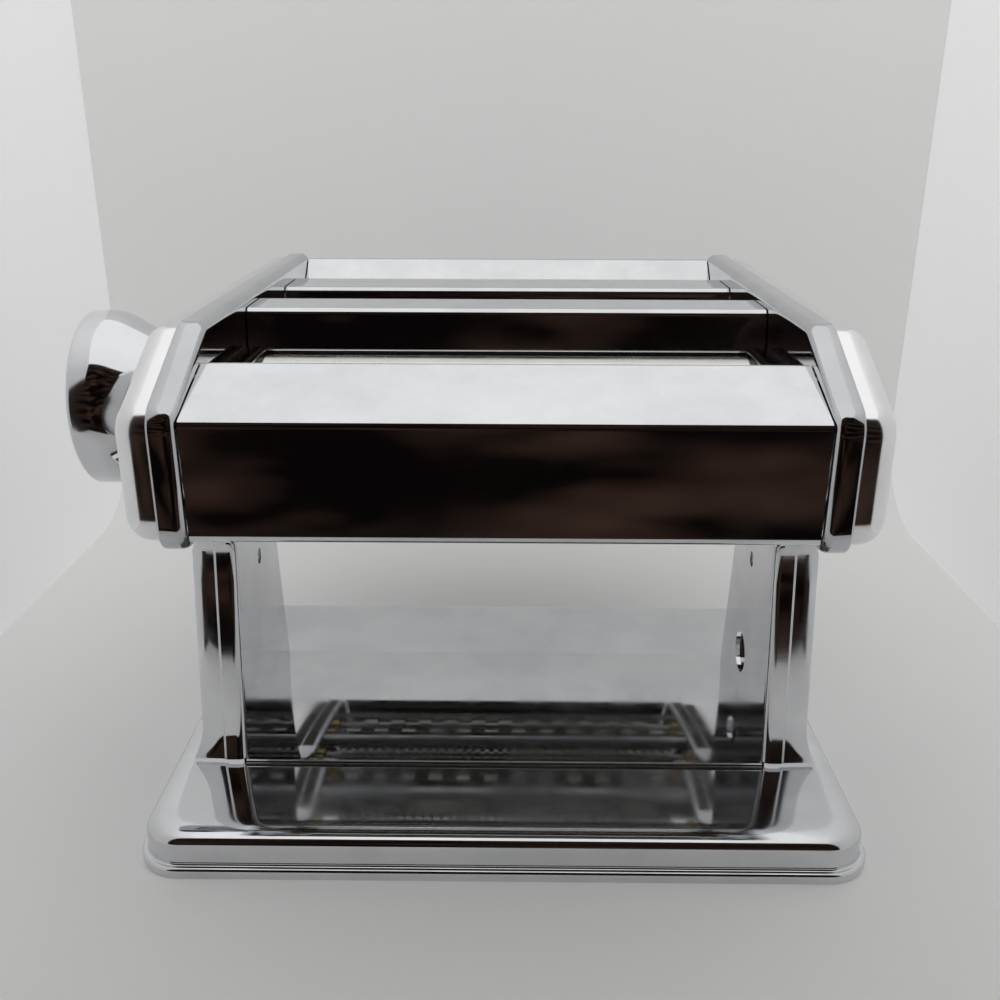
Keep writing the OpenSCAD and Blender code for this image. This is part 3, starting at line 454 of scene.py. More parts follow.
# The side frames and the end covers get a painted shade on the faces that point down.
frame_chrome = metal(
    "side frame chrome", "chrome_sheet", ((0.58, 0.59, 0.605), (0.5, 0.51, 0.53)), POLISH, WIPES,
    (2600.0, 300.0, 300.0), HAIRLINE_DEPTH, WAVE_DEPTH, SHADE_BELOW,
)
satin_chrome = metal(
    "satin end cover", "satin_cover", ((0.86, 0.865, 0.87), (0.79, 0.795, 0.8)), (0.13, 0.24), 45.0,
    (1500.0, 900.0, 900.0), 0.003 * MM, dull_and_shade=SHADE_BELOW
)
roller_nickel = metal(
    "turned nickel", "satin_roller", ((0.84, 0.82, 0.77), (0.74, 0.72, 0.67)), (0.2, 0.36), 50.0,
    (2600.0, 120.0, 120.0), 0.004 * MM
)
# The cutters' dark colour is a painted shade, for the shade they turn in under the head.
shaded_cutter_nickel = metal(
    "cutter nickel with painted shade", "satin_roller", ((0.36, 0.35, 0.33), (0.24, 0.235, 0.22)), (0.2, 0.36), 50.0,
    (2600.0, 120.0, 120.0), 0.004 * MM
)
zinc_steel = metal(
    "zinc plated steel", "plain_steel", ((0.5, 0.51, 0.53), (0.38, 0.38, 0.38)), (0.28, 0.5), 70.0,
    (900.0, 900.0, 900.0), 0.006 * MM
)
# The combs' and scrapers' dark colour is a painted shade, for the shade under the head.
shaded_strip_steel = metal(
    "strip steel with painted shade", "plain_steel", ((0.2, 0.195, 0.185), (0.13, 0.125, 0.12)), (0.22, 0.4), 60.0,
    (90.0, 1800.0, 1800.0), 0.004 * MM
)
turned_brass = metal(
    "turned brass", "bearing_brass", ((0.78, 0.64, 0.34), (0.62, 0.48, 0.24)), (0.22, 0.42), 60.0,
    (2200.0, 150.0, 150.0), 0.004 * MM
)
spring_steel = metal(
    "spring wire", "spring_wire", ((0.35, 0.36, 0.38), (0.26, 0.26, 0.27)), (0.25, 0.45), 80.0,
    (1500.0, 1500.0, 1500.0), 0.004 * MM
)
finishes = (
    mirror_chrome, pan_chrome, front_chrome, back_chrome, cover_chrome, frame_chrome, satin_chrome,
    roller_nickel, shaded_cutter_nickel, zinc_steel, shaded_strip_steel, turned_brass, spring_steel,
)
print("finishes", [finish["material"].name for finish in finishes])

# %% [markdown]
# ## The base
# The base is a shallow pan, pressed upside down. Its section starts at the lip on the table, steps in,
# rises as a wall and rolls over into the top. The roll is a superellipse: it leaves the flat slowly, which
# is why straight reflections bend long before the edge, and then turns down quickly. That section is
# carried round a rectangle with round corners, and a flat panel closes the middle.

# %% Base pan
PAN_SHEET = 1.0 * MM
LIP_HEIGHT, LIP_WIDTH = 3.2 * MM, 2.0 * MM
ROLL_WIDTH, ROLL_HEIGHT, ROLL_POWER = 10.0 * MM, 5.0 * MM, 2 / 3.2
LIP_BENDS, LIP_HOLD, ROLL_STEPS = np.array([1.1, 0.7]) * MM, 0.05 * MM, 40
PAN_CORNER, PAN_REACH = 14.0 * MM, 13.0 * MM


def carried(outline, section, place, start):
    """A section carried round an outline: its first number moves the outline inward, its second across."""
    inward = beside(outline, 1.0, closed=True) - outline
    grid = outline[None] + section[:, 0, None, None] * inward[None]
    return surface(place(grid, start + section[:, 1:]))


def pan_section():
    """Inset and height up the lip and the wall, then over a superellipse.

    At angle a the superellipse is at (w (1 - cos^p a), h sin^p a) from the top of the wall.
    """
    wall = bent(
        [(0, 0), (0, LIP_HEIGHT), (LIP_WIDTH, LIP_HEIGHT), (LIP_WIDTH, BASE_TOP - ROLL_HEIGHT)],
        LIP_BENDS, steps=6, hold=LIP_HOLD,
    )
    a = np.linspace(0, np.pi / 2, ROLL_STEPS + 1)[1:-1]
    roll = np.stack([
        LIP_WIDTH + ROLL_WIDTH * (1 - np.cos(a) ** ROLL_POWER),
        BASE_TOP - ROLL_HEIGHT * (1 - np.sin(a) ** ROLL_POWER),
    ], axis=-1)
    return np.vstack([wall, roll, [(LIP_WIDTH + ROLL_WIDTH, BASE_TOP), (PAN_REACH, BASE_TOP)]])


(pan_left, pan_front, _), (pan_right, pan_rear, _) = span("base_pan")
pan_corners = [(pan_left, pan_front), (pan_right, pan_front), (pan_right, pan_rear), (pan_left, pan_rear)]
pan_outline = bent(pan_corners, PAN_CORNER, steps=16, closed=True, hold=OUTLINE_HOLD)
pan_top = beside(pan_outline, PAN_REACH, closed=True)
pan_outer = pan_section()
pan_ring = np.vstack([beside(pan_outer, -PAN_SHEET)[::-1], pan_outer])
piece("base_pan", [
    carried(pan_outline, pan_ring, level, 0.0),
    panel(pan_top, [], level, BASE_TOP),
    panel(pan_top, [], level, BASE_TOP - PAN_SHEET),
], pan_chrome)

# %% [markdown]
# ## The stand
# A plate lies on the base between the legs. Each leg is a flat wall whose front and rear edges fold
# outward into a flange of two facets with a small step between them. The flange spreads into a toe at
# the foot and swings out into a shoulder under the head. The fold is one section, and only its far end
# moves from station to station.

# %% Stand plate
plate_section = sheet(np.array([(FOOT_FRONT, BASE_TOP), (FOOT_REAR, BASE_TOP)]), PLATE_TOP - BASE_TOP)
piece("stand_plate", [along_x(plate_section, (-WALL, WALL))], mirror_chrome)

# %% The edge of a leg
LEG_SHEET, LEG_LEAN, HEAD_GAP = 1.5 * MM, 0.145, 0.05 * MM
SHOULDER_HEIGHT, SHOULDER_RUN, SHOULDER_DROP = 17.0 * MM, 27.0 * MM, LEG_SHEET * 4 / 3
FOOT_LIFT, FOOT_FLARE, FOOT_SHARE = 1.5 * MM, 4.0 * MM, 1 / 5
FACET_IN, FACET_OUT, FACET_TURN, FACET_STEP = 6.3 * MM, 7.0 * MM, np.radians(3), 0.6 * MM
SHOULDER_NARROWING = 0.95
FOLD_BEND, KNEE_BEND, FOLD_HOLD, FACET_STUB = 2.6 * MM, 0.4 * MM, 0.1 * MM, 2.0 * MM
FOLD_REACH = FOLD_BEND + HOLD
leg_height = HEAD_LOW - BASE_TOP
waist = leg_height - SHOULDER_HEIGHT
flare_top = waist * FOOT_SHARE


def leg_edge(foot):
    """Distance from the middle and height of a leg's edge: a leaning line, then a quarter ellipse.

    Above the waist the point at angle a is (waist + run (1 - cos a), waist height + rise sin a).
    """
    low = np.concatenate([np.linspace(FOOT_LIFT, flare_top, 9), np.linspace(flare_top, waist, 7)[1:]])
    line = np.stack([foot - LEG_LEAN * low, low], axis=-1)
    a = np.linspace(0, np.pi / 2, 17)[1:]
    rise = SHOULDER_HEIGHT - SHOULDER_DROP
    out = line[-1, 0] + SHOULDER_RUN * (1 - np.cos(a))
    return np.vstack([line, np.stack([out, waist + rise * np.sin(a)], axis=-1)])


def under_head(flat, side):
    """A leg's points as Y and Z on its front or rear side, pressed flat where they meet the head."""
    placed = flat * [side, 1] + [0, BASE_TOP]
    return np.minimum(placed, [np.inf, HEAD_LOW - HEAD_GAP])


def flange(foot, side):
    """The folded edge of a leg: its section at every station of the edge.

    In the section the first number runs outward from the wall and the second runs inward from the
    edge. The last facet's end moves out along the facet by the width that the station has left.
    """
    edge = leg_edge(foot)
    inward = beside(edge, 1.0) - edge
    facet = np.array([np.cos(FACET_TURN), np.sin(FACET_TURN)])
    knee = np.array([FACET_IN + FACET_STEP, FACET_STEP])
    corners = [(0, FOLD_REACH), (0, 0), (FACET_IN, 0), knee, knee + facet * FACET_STUB]
    fold = bent(corners, [FOLD_BEND, KNEE_BEND, KNEE_BEND], steps=8, hold=FOLD_HOLD)
    section = sheet(fold, LEG_SHEET, both_ends=False)
    tail = len(section) - 2 * len(fold)
    moving = np.zeros(len(section))
    moving[len(fold) - 1: len(fold) + tail + 1] = 1.0
    share = 1 - SHOULDER_NARROWING * np.clip((edge[:, 1] - waist) / SHOULDER_HEIGHT, 0, None)
    spread = np.clip(1 - edge[:, 1] / flare_top, 0, None) ** 2
    width = FACET_OUT * share + FOOT_FLARE * spread - FACET_STUB
    local = section[None] + (width[:, None] * moving)[..., None] * facet
    flat = under_head(edge[:, None] + inward[:, None] * local[..., 1:], side)
    return surface(upright(flat, WALL + local[..., 0]), caps=True)


def wall_edge(foot, side):
    """The line where a leg's wall meets the fold, from the plate to the shoulder."""
    inner = beside(leg_edge(foot), FOLD_REACH)
    return under_head(np.vstack([[(foot - FOLD_REACH, 0)], inner]), side)


print("leg", round(leg_height / MM, 1), "mm high, waist at", round(waist / MM, 1), "mm")

# %% Legs
CLAMP_HOLE, CLAMP_HOLE_RISE = 7.25 * MM, 19.6 * MM
SLOT = np.array([(-2, -2.6), (2, -2.6), (2, 2.6), (-2, 2.6)]) * MM
SLOT_AT, SLOT_ROUND = np.array([-4.0 * MM, HEAD_LOW - 30.0 * MM]), 1.6 * MM


def leg(holes):
    """The wall of a leg with its holes, the folded edges and the tab that lies under the head."""
    front, rear = wall_edge(-FOOT_FRONT, -1), wall_edge(FOOT_REAR, 1)
    outline = np.vstack([front[::-1], rear])
    section = sheet(np.array([(WALL, HEAD_LOW), (RIM, HEAD_LOW)]), -LEG_SHEET)
    return [
        *plate_faces(outline, holes, upright, WALL, WALL + LEG_SHEET),
        flange(-FOOT_FRONT, -1),
        flange(FOOT_REAR, 1),
        along_y(section, (front[-1, 0] - LEG_SHEET, rear[-1, 0] + LEG_SHEET)),
    ]


slot = bent(SLOT + SLOT_AT, SLOT_ROUND, steps=8, closed=True)
clamp_hole = ring((0.0, BASE_TOP + CLAMP_HOLE_RISE), CLAMP_HOLE)
piece("right_leg", leg([slot, clamp_hole]), mirror_chrome)
piece("left_leg", mirrored(leg([slot])), mirror_chrome)

# %% [markdown]
# ## The side frames
# A side frame is a flat wall with its rim turned outward, like a shallow baking tin on its side. The
# rim's section is a bend, a flange and a round free edge, carried round the outline of the head. The
# wall is a flat panel with the holes of the bearings in it.

# %% Side frames
FRAME_SHEET, FRAME_BEND, FRAME_REACH, FRAME_CORNER = 1.5 * MM, 3.0 * MM, 5.0 * MM, 8.0 * MM
FRONT_BEVEL, REAR_BEVEL = 35.0 * MM, 29.0 * MM
ROLLER_SEAT, CUTTER_SEAT, ECCENTRIC_SEAT, TIE_SEAT = 8.07 * MM, 7.07 * MM, 12.05 * MM, 2.52 * MM
head_corners = np.array([
    (HEAD_FRONT, HEAD_LOW), (HEAD_REAR, HEAD_LOW), (HEAD_REAR, CREASE),
    (HEAD_REAR - REAR_BEVEL, HEAD_TOP), (HEAD_FRONT + FRONT_BEVEL, HEAD_TOP), (HEAD_FRONT, CREASE),
])
head_outline = bent(head_corners, FRAME_CORNER, steps=12, closed=True, hold=OUTLINE_HOLD)
tie_low, tie_high = span("tie_rods")
tie_radius = (tie_high[2] - tie_low[2]) / 2
tie_z = (tie_low[2] + tie_high[2]) / 2
last_tie = tie_high[1] - tie_radius
tie_ys = [tie_low[1] + tie_radius, cutter_axes[0, 0] + cutter_axes[1, 0] - last_tie, last_tie]


def side_frame():
    """The rim, carried round the head, and the wall with its bearing holes inside it."""
    rim = bent([(FRAME_REACH, 0), (0, 0), (0, RIM - WALL)], FRAME_BEND, steps=12)
    wall = beside(head_outline, FRAME_REACH, closed=True)
    holes = [
        ring(front_axis, ROLLER_SEAT),
        ring(knob_axis, ECCENTRIC_SEAT),
        *[ring(axis, CUTTER_SEAT) for axis in cutter_axes],
        *[ring((y, tie_z), TIE_SEAT, steps=24) for y in tie_ys],
    ]
    return [
        carried(head_outline, sheet(rim, -FRAME_SHEET, both_ends=False), upright, WALL),
        *plate_faces(wall, holes, upright, WALL, WALL + FRAME_SHEET),
    ]


piece("right_side_frame", side_frame(), frame_chrome)
piece("left_side_frame", mirrored(side_frame()), frame_chrome)

# %% [markdown]
# ## The end covers
# A satin dome stands on each flange and hides the gears. It is the same kind of pressing with a large
# rounding, a little inside the flange's outline, so that the flange's edge shows as a bright line. The
# left one has a hole for the knob's spindle and nine holes for its index pin, and the right one has
# holes for the crank sockets.

# %% End covers
COVER_SHEET, COVER_INSET, COVER_ROUND, COVER_CORNER = 1.2 * MM, 1.5 * MM, 6.5 * MM, 9.0 * MM
SPINDLE_HOLE, CRANK_HOLE, CUTTER_CRANK_HOLE = 5.5 * MM, 6.5 * MM, 5.5 * MM
INDEX_RADIUS, INDEX_HOLE, INDEX_STEP, SETTINGS = 14.0 * MM, 1.55 * MM, 13.0, 9
cover_corners = beside(head_corners, COVER_INSET, closed=True)
cover_outline = bent(cover_corners, COVER_CORNER, steps=16, closed=True, hold=OUTLINE_HOLD)


def end_cover(holes):
    """The rounded edge, carried round the cover's outline, and the flat face with its holes inside it."""
    height, reach = COVER_FACE - RIM, COVER_ROUND + 2 * HOLD
    path = bent([(reach, height), (0, height), (0, 0)], COVER_ROUND, steps=16)
    face = beside(cover_outline, reach, closed=True)
    return [
        carried(cover_outline, sheet(path, COVER_SHEET, both_ends=False), upright, RIM),
        *plate_faces(face, holes, upright, COVER_FACE, COVER_FACE - COVER_SHEET),
    ]


index_angles = np.radians(INDEX_STEP * (np.arange(SETTINGS) - (SETTINGS - 1) / 2))
index_places = knob_axis + INDEX_RADIUS * np.stack([-np.sin(index_angles), np.cos(index_angles)], axis=-1)
knob_holes = [ring(knob_axis, SPINDLE_HOLE)]
knob_holes += [ring(place, INDEX_HOLE, steps=20) for place in index_places]
crank_holes = [ring(front_axis, CRANK_HOLE)]
crank_holes += [ring(axis, CUTTER_CRANK_HOLE) for axis in cutter_axes[::2]]
piece("right_end_cover", end_cover(crank_holes), satin_chrome)
piece("left_end_cover", mirrored(end_cover(knob_holes)), satin_chrome)

# %% [markdown]
# ## Hoods and covers
# Between the frames lie four bent sheets. The front hood has a lip below, an upright face, a crease and
# a sloping panel with a lip over the rollers. Two channels cover the room between the feed slots, with
# front walls that lean like a chute, and a back panel follows the frames' bevel and turns down to the
# last cutter. Over the rear roller the chute's foot is turned under, so that no gap shows there. Each is
# one path in side view, given its thickness and carried along the machine.

# %% Front hood, covers and back panel
SHEET, SHEET_BEND, LIP = 1.0 * MM, 2.2 * MM, 4.0 * MM
HOOD_SLOPE_DEPTH, HOOD_SLOPE_RISE, HOOD_CREASE_DROP = 27.0 * MM, 9.8 * MM, 2.0 * MM
(hood_left, hood_front, hood_low), (hood_right, _, _) = span("front_hood")
hood_crease = CREASE - HOOD_CREASE_DROP
hood_edge = np.array([hood_front + HOOD_SLOPE_DEPTH, hood_crease + HOOD_SLOPE_RISE])
hood_path = bent([
    (hood_front + LIP, hood_low), (hood_front, hood_low), (hood_front, hood_crease), hood_edge,
    hood_edge + [SHEET_BEND, -LIP],
], SHEET_BEND)
piece("front_hood", [along_x(sheet(hood_path, -SHEET), (hood_left, hood_right))], front_chrome)

CHUTE_LEAN = np.radians(12)
TURNED_UNDER, HEM_BEND = np.array([4.1, -3.5]) * MM, 0.8 * MM
cover_low = rear_axis[1] + roller_radius


def channel(node, hem=None):
    """A cover with an upright wall at its back and a leaning wall at its front, in the box of its solid.

    The leaning wall's foot lies on the box's front, and its top lies (top - foot) tan(lean) behind that.
    A hem runs on from the foot.
    """
    (x0, foot, _), (x1, back, top) = span(node)
    front = foot + (top - cover_low) * np.tan(CHUTE_LEAN)
    corners = [(back, cover_low), (back, top), (front, top), (foot, cover_low)]
    bends = [SHEET_BEND, SHEET_BEND]
    if hem is not None:
        corners.append((foot, cover_low) + hem)
        bends.append(HEM_BEND)
    return [along_x(sheet(bent(corners, bends), SHEET), (x0, x1))]


piece("middle_cover", channel("middle_cover", TURNED_UNDER), cover_chrome)
piece("rear_cover", channel("rear_cover"), cover_chrome)
HOOD_STEP, BACK_LIP_DROP = 1.6 * MM, 12.0 * MM
back_corners = beside(head_corners, HOOD_STEP, closed=True)
_, back_lip, back_low = span("rear_hood")[0]
back_path = bent([
    (back_corners[1, 0] - LIP, back_low), (back_corners[1, 0], back_low), back_corners[2], back_corners[3],
    (back_lip, back_corners[3, 1] - BACK_LIP_DROP),
], SHEET_BEND)
piece("rear_hood", [along_x(sheet(back_path, SHEET), (hood_left, hood_right))], back_chrome)

# %% [markdown]
# ## Roller guards
# A small folded sheet at each end of the feed slot keeps the dough off the rollers' ends. In section it
# is a wall with a ledge that reaches to the frame.

# %% Guards
GUARD_SHEET, GUARD_BEND = 1.0 * MM, 1.6 * MM


def guard():
    """A wall and its ledge, as one bent sheet carried along Y."""
    (x0, front, low), (x1, back, top) = span("right_roller_guard")
    path = bent([(x0, low), (x0, top), (x1, top)], GUARD_BEND, steps=6)
    return [along_y(sheet(path, -GUARD_SHEET), (front, back))]


piece("right_roller_guard", guard(), mirror_chrome)
piece("left_roller_guard", mirrored(guard()), mirror_chrome)

# %% [markdown]
# ## Rollers and cutters
# Everything that turns is a profile of radius and X, swept round its axis. The smooth rollers have
# small bevels, so that their ends catch the light. A cutter's profile steps between its rings and
# grooves, and the mate has one ring less, so that its rings run in the other's grooves.

# %% Smooth rollers
FRONT_JOURNAL, REAR_JOURNAL = 6.0 * MM, 5.0 * MM
SOCKET_RADIUS, SOCKET_DEPTH = 3.6 * MM, 14.0 * MM
FACE, ROLLER_BEVEL, ROLLER_SIDES = 75.0 * MM, 0.4 * MM, 128


def right_end(x, socket):
    """Where a profile returns to the axis at its right end, round the crank's socket if it has one."""
    floor = x - SOCKET_DEPTH
    return [(SOCKET_RADIUS, x), (SOCKET_RADIUS, floor), (0, floor)] if socket else [(0, x)]


def roller_profile(node, journal, radius, socket):
    """Radius and X from the axis at the left end over the journal, the face and the other journal."""
    low, high = span(node)
    x0, x1 = low[0], high[0]
    over = [
        (0, x0), (journal, x0), (journal, -FACE), (radius, -FACE),
        (radius, FACE), (journal, FACE), (journal, x1),
    ]
    return bent(over + right_end(x1, socket), ROLLER_BEVEL, steps=4)


front_profile = roller_profile("front_roller", FRONT_JOURNAL, roller_radius, True)
rear_profile = roller_profile("rear_roller", REAR_JOURNAL, roller_radius, False)
piece("front_roller", [turned(front_profile, front_axis, ROLLER_SIDES)], roller_nickel, "front_roller")
piece("rear_roller", [turned(rear_profile, rear_axis, ROLLER_SIDES)], roller_nickel, "rear_roller")

# %% Ring cutters
RING_RADIUS, GROOVE_RADIUS, CUTTER_JOURNAL, RING_PLAY = 10.0 * MM, 7.0 * MM, 5.0 * MM, 0.3 * MM
FINE_STRAND, WIDE_STRAND, CUTTER_SIDES = 2.0 * MM, 6.5 * MM, 64


def cutter_profile(node, strand, mate):
    """Radius and X of a cutter: rings one strand wide and two strands apart, with grooves between them."""
    low, high = span(node)
    x0, x1 = low[0], high[0]
    half = (strand - RING_PLAY) / 2
    count = int((2 * FACE - 2 * half) // (2 * strand)) + 1 - mate
    centres = (np.arange(count) - (count - 1) / 2) * 2 * strand
    steps = np.array([
        (GROOVE_RADIUS, -half), (RING_RADIUS, -half), (RING_RADIUS, half), (GROOVE_RADIUS, half),
    ])
    rings = (steps[None] + np.stack([0 * centres, centres], axis=-1)[:, None]).reshape(-1, 2)
    start = [(0, x0), (CUTTER_JOURNAL, x0), (CUTTER_JOURNAL, -FACE), (GROOVE_RADIUS, -FACE)]
    end = [(GROOVE_RADIUS, FACE), (CUTTER_JOURNAL, FACE), (CUTTER_JOURNAL, x1)]
    return np.vstack([start, rings, end, right_end(x1, not mate)])


for name, axis in zip(cutter_names, cutter_axes):
    strand = FINE_STRAND if name.startswith("fine") else WIDE_STRAND
    profile = cutter_profile(name, strand, mate="rear" in name)
    piece(name, [turned(profile, axis, CUTTER_SIDES)], shaded_cutter_nickel, name.replace("_cutter", ""))

# %% [markdown]
# ## The regulator knob
# The knob is a polished trumpet. Its outline is an S-curve from the neck to the rim, and shallow finger
# hollows run round the flare. They can hardly be seen in the outline, but they swirl the reflections.
# The hollows are a second wave in the radius, so the knob is a grid in angle and length.

# %% Knob and its cap
NECK_RADIUS, RIM_RADIUS, FLARE, RIM_ROUND = 18.5 * MM, 27.0 * MM, 21.5 * MM, 1.0 * MM
POCKET_RADIUS, CAP_RADIUS, CAP_SHEET, WEB = 11.5 * MM, 14.5 * MM, 1.5 * MM, 5.0 * MM
SPINDLE_BORE, NECK_BEVEL, KNOB_BEND = 5.05 * MM, 1.0 * MM, 0.5 * MM
HOLLOWS, HOLLOW_DEPTH, HOLLOW_POWER = 6, 1.0 * MM, 1.5
CAP_BEVEL, CAP_SIDES, KNOB_SHARP = 0.4 * MM, 96, 40
(knob_end, _, _), (knob_in, _, _) = span("regulator_knob")
knob_length = knob_in - knob_end


def knob_surface(steps=192):
    """The trumpet: radius r(s) with r = neck + (rim - neck)(1 - cos 180 s)/2 along the flare.

    A hollow lowers the radius by depth * max(0, cos(n a))^1.5 * sin(180 s)^2 at angle a.
    """
    s = np.linspace(0, 1, 41)
    swell = (RIM_RADIUS - NECK_RADIUS) * (1 - np.cos(np.pi * s)) / 2
    flare = np.stack([NECK_RADIUS + swell, FLARE * s], axis=-1)
    a = np.linspace(0, np.pi / 2, 13)
    edge = np.stack([
        RIM_RADIUS - RIM_ROUND * (1 - np.cos(a)),
        knob_length - RIM_ROUND * (1 - np.sin(a)),
    ], axis=-1)
    edge = np.vstack([edge[:1] - [0, HOLD], edge])
    seat = knob_length - 2 * CAP_SHEET
    inside = bent([
        edge[-1], (CAP_RADIUS, knob_length), (CAP_RADIUS, seat), (POCKET_RADIUS, seat),
        (POCKET_RADIUS, WEB), (SPINDLE_BORE, WEB), (SPINDLE_BORE, 0), (NECK_RADIUS - NECK_BEVEL, 0),
    ], KNOB_BEND, steps=4)[1:]
    profile = np.vstack([flare, edge, inside])
    window = np.zeros(len(profile))
    window[: len(s)] = np.sin(np.pi * s) ** 2
    angle = np.linspace(0, 2 * np.pi, steps, endpoint=False)
    wave = np.clip(np.cos(HOLLOWS * angle), 0, None) ** HOLLOW_POWER
    r = profile[:, :1] - HOLLOW_DEPTH * window[:, None] * wave[None]
    x = np.broadcast_to(knob_in - profile[:, 1:], r.shape)
    y, z = knob_axis[0] + r * np.cos(angle), knob_axis[1] + r * np.sin(angle)
    return surface(np.stack([x, y, z], axis=-1), wrap_rows=True)


piece("regulator_knob", [knob_surface()], mirror_chrome, "knob", sharp=KNOB_SHARP)
(cap_out, _, _), (cap_in, _, _) = span("knob_cap")
cap_corners = [(0, cap_in), (CAP_RADIUS, cap_in), (CAP_RADIUS, cap_out), (0, cap_out)]
cap_profile = bent(cap_corners, CAP_BEVEL, steps=5)
piece("knob_cap", [turned(cap_profile, knob_axis, CAP_SIDES)], mirror_chrome, "knob")

# %% [markdown]
# ## The knob's spring
# A coil spring on the spindle pulls the knob home, and pulling the knob presses it together. A solid can
# only ride along, so the spring is made again as a tube along a helix.

# %% Spring
WIRE_RADIUS, SPRING_TURNS, KNOB_PULL = 0.6 * MM, 5, 4.0 * MM


def spring_coil(rings=24, sides=10):
    """A tube along a helix: (x + w sin b, (r + w cos b) cos a, (r + w cos b) sin a).

    x falls evenly while a grows, so the coil runs outward from the knob's web.
    """
    low, high = span("knob_spring")
    radius = (high[2] - low[2]) / 2 - WIRE_RADIUS
    s = np.linspace(0, 1, SPRING_TURNS * rings + 1)[:, None]
    a = 2 * np.pi * SPRING_TURNS * s
    b = np.linspace(0, 2 * np.pi, sides, endpoint=False)
    x = high[0] - WIRE_RADIUS - s * (high[0] - low[0] - 2 * WIRE_RADIUS) + WIRE_RADIUS * np.sin(b)
    r = radius + WIRE_RADIUS * np.cos(b)
    y, z = knob_axis[0] + r * np.cos(a), knob_axis[1] + r * np.sin(a)
    return surface(np.stack(np.broadcast_arrays(x, y, z), axis=-1), caps=True)


spring = piece("knob_spring", [spring_coil()], spring_steel, "regulator")
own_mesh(spring)

# %% [markdown]
# ## The inner parts
# Gears, bearings, nuts, combs and scrapers sit inside the head. Their solids are exact already, so they
# stay as they are and only get a finish: brass in the bearings, zinc on the steel, and on the combs and
# scrapers a dark colour that is a painted shade, for the shade under the head.

# %% Finishes on the solids that stay
finish_of_slot = {"plain_steel": zinc_steel, "bearing_brass": turned_brass}
slot_of_node = {part["node"]: part["material_slot"] for part in frame["record"]["subparts"]}
kept = [node for node in frame["nodes"] if not frame["nodes"][node].hide_render]
for node in kept:
    solid = frame["nodes"][node]
    solid.data.materials.clear()
    # The combs and scrapers get the dark strip steel, a painted shade.
    strip = node.endswith(("_comb", "_scraper"))
    solid.data.materials.append((shaded_strip_steel if strip else finish_of_slot[slot_of_node[node]])["material"])
print("solids that stay", len(kept), "of", len(frame["nodes"]))

# %% [markdown]
# ## The tent
# The machine stands in a small white tent that is open at the front. Chrome shows the tent: white at the
# sides and above, grey at the back, and the dark room where the tent is open. The cloth is seen from
# inside only: its back is transparent, so that it doesn't hide the machine from outside. The sides glow
# a little, because light falls through them. The floor and the back are lifted for the camera and for
# reflections only, which a Light Path node tells from the rays that light the machine.

# %% Floor, back and sides of the tent
TENT_HALF, TENT_BACK, TENT_TOP = 0.215, 0.235, 0.43
FLOOR_FRONT, SIDE_FRONT, ROOF_FRONT = -0.255, -0.22, -0.22
SIDE_GLOW, FLOOR_LIFT, SWEEP_BEND = 0.3, 0.15, 0.05
FLOOR_WHITE, SIDE_WHITE = (0.8, 0.8, 0.795, 1.0), (0.86, 0.86, 0.86, 1.0)


def cloth(name, colour, glow=0.0, lift=0.0):
    """White cloth with a glow of its own and a lift that only shows, which is clear from behind."""
    n = Nodes(name)
    for key, value in (("Base Color", colour), ("Emission Color", colour), ("Emission Strength", glow),
                       ("Roughness", 0.9), ("Specular IOR Level", 0.1)):
        n.shader.inputs[key].default_value = value
    if lift:
        ray = n.add("ShaderNodeLightPath").outputs
        shown = n.sums("MAXIMUM", ray["Is Camera Ray"], ray["Is Glossy Ray"])
        n.plug(n.shader.inputs["Emission Strength"], n.sums("MULTIPLY", shown, lift))
    one_sided = n.add("ShaderNodeMixShader")
    n.plug(one_sided.inputs[0], n.add("ShaderNodeNewGeometry").outputs["Backfacing"])
    n.plug(one_sided.inputs[1], n.shader.outputs["BSDF"])
    n.plug(one_sided.inputs[2], n.add("ShaderNodeBsdfTransparent").outputs["BSDF"])
    n.plug(n.tree.nodes["Material Output"].inputs["Surface"], one_sided.outputs["Shader"])
    return n.material


def stage_sheet(name, grid, material):
    """A sheet of the stage, from a grid of points."""
    points, faces = surface(grid, wrap_columns=False)
    mesh = bpy.data.meshes.new(name)
    mesh.from_pydata(points.tolist(), [], faces)
    mesh.polygons.foreach_set("use_smooth", np.ones(len(mesh.polygons), bool))
    made = bpy.data.objects.new(name, mesh)
    bpy.context.scene.collection.objects.link(made)
    made.data.materials.append(material)
    return made


floor_cloth = cloth("tent floor", FLOOR_WHITE, lift=FLOOR_LIFT)
side_cloth = cloth("tent side", SIDE_WHITE, glow=SIDE_GLOW)
sweep = bent([(FLOOR_FRONT, 0), (TENT_BACK, 0), (TENT_BACK, TENT_TOP)], SWEEP_BEND, steps=16)
stage_sheet("tent_floor", upright(sweep[None], np.array([[TENT_HALF], [-TENT_HALF]])), floor_cloth)
side_depths, side_heights = np.array([[SIDE_FRONT, TENT_BACK]]), np.array([[0.0], [TENT_TOP]])
for name, side in (("tent_left", -1), ("tent_right", 1)):
    corners = np.broadcast_arrays(side * TENT_HALF, side_depths[:, ::-side], side_heights)
    stage_sheet(name, np.stack(corners, axis=-1), side_cloth)
print("tent", round(2 * TENT_HALF, 2), "m wide,", TENT_TOP, "m high")

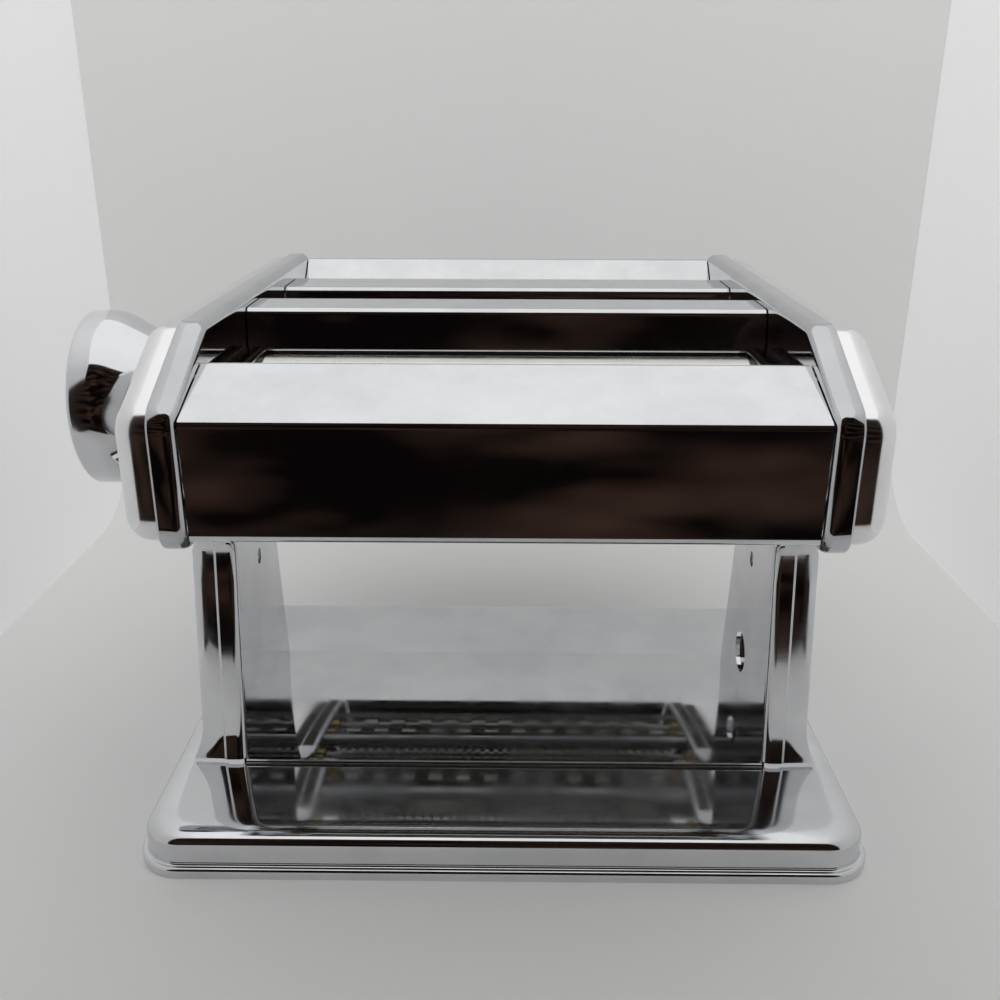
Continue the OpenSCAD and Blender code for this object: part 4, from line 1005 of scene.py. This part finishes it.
# %% The dark room in front
STREAKS, STREAK_RANGE = (9.0, 9.0, 40.0), (0.45, 0.75)
ROOM_DARK, ROOM_WARM = (0.003, 0.0022, 0.002), (0.06, 0.034, 0.025)
room = Nodes("dark room")
room.tree.nodes.remove(room.shader)
glow = room.add("ShaderNodeEmission")
warmth = room.ramp(room.noise(STREAKS, detail=2.0), *STREAK_RANGE)
room.plug(glow.inputs["Color"], room.mix(warmth, ROOM_DARK, ROOM_WARM))
room.plug(room.tree.nodes["Material Output"].inputs["Surface"], glow.outputs["Emission"])
front_line = np.array([(FLOOR_FRONT, TENT_TOP), (FLOOR_FRONT, 0.0)])
front_grid = upright(front_line[None], np.array([[-TENT_HALF], [TENT_HALF]]))
curtain = stage_sheet("dark_front", front_grid, room.material)
for ray in ("visible_camera", "visible_diffuse", "visible_shadow", "visible_transmission"):
    setattr(curtain, ray, False)
print("the dark front shows in reflections only")

# %% [markdown]
# ## Light and camera
# The tent's roof is one large soft lamp. Whatever lies beyond the tent is dark, except straight before
# the camera, where it takes the floor's grey: a Light Path node tells the camera's rays from the others.
# The camera stands at the tent's opening, above the machine, and looks down a little. Its place and lens
# were worked out from the vanishing lines of the frames and the base.

# %% Lamp and surroundings
ROOF_GLOW, WATTS_PER_GLOW = 0.8, 4
BACKDROP, DARK_ROOM = (0.56, 0.56, 0.555, 1.0), (0.02, 0.015, 0.013, 1.0)
lamp = bpy.data.lights.new("tent_roof", "AREA")
lamp.shape = "RECTANGLE"
lamp.size, lamp.size_y = 2 * TENT_HALF, TENT_BACK - ROOF_FRONT
lamp.energy = WATTS_PER_GLOW * ROOF_GLOW * lamp.size * lamp.size_y
roof = bpy.data.objects.new("tent_roof", lamp)
roof.location = 0.0, (TENT_BACK + ROOF_FRONT) / 2, TENT_TOP
bpy.context.scene.collection.objects.link(roof)
world = bpy.data.worlds.new("surroundings")
bpy.context.scene.world = world
world.use_nodes = True
choice = world.node_tree.nodes.new("ShaderNodeMix")
choice.data_type = "RGBA"
choice.inputs["A"].default_value = DARK_ROOM
choice.inputs["B"].default_value = BACKDROP
rays = world.node_tree.nodes.new("ShaderNodeLightPath")
world.node_tree.links.new(rays.outputs["Is Camera Ray"], choice.inputs["Factor"])
world.node_tree.links.new(choice.outputs["Result"], world.node_tree.nodes["Background"].inputs["Color"])
bpy.context.scene.view_settings.view_transform = "Standard"
print("roof lamp", round(lamp.energy, 3), "W")

# %% Camera
IMAGE, FOCAL_PIXELS, SENSOR, NEAR = 1000, 1030, 36.0, 0.01
CAMERA_AT = 0.0012, -0.321, 0.2076
PITCH, YAW, ROLL = np.radians([20.35, -0.53, -0.15])
ahead = np.array([np.sin(YAW) * np.cos(PITCH), np.cos(YAW) * np.cos(PITCH), -np.sin(PITCH)])
rightward = np.array([np.cos(YAW), -np.sin(YAW), 0.0])
downward = np.cross(ahead, rightward)
turned_right = np.cos(ROLL) * rightward + np.sin(ROLL) * downward
turned_down = np.cos(ROLL) * downward - np.sin(ROLL) * rightward
camera = bpy.data.objects.new("camera", bpy.data.cameras.new("camera"))
camera.data.sensor_fit, camera.data.sensor_width = "HORIZONTAL", SENSOR
camera.data.lens = FOCAL_PIXELS / IMAGE * SENSOR
camera.data.clip_start = NEAR
turn = np.eye(4)
turn[:3, :3] = np.column_stack([turned_right, -turned_down, -ahead])
turn[:3, 3] = CAMERA_AT
camera.matrix_world = Matrix(turn.tolist())
bpy.context.scene.collection.objects.link(camera)
bpy.context.scene.camera = camera
print("lens", round(camera.data.lens, 2), "mm")

# %% [markdown]
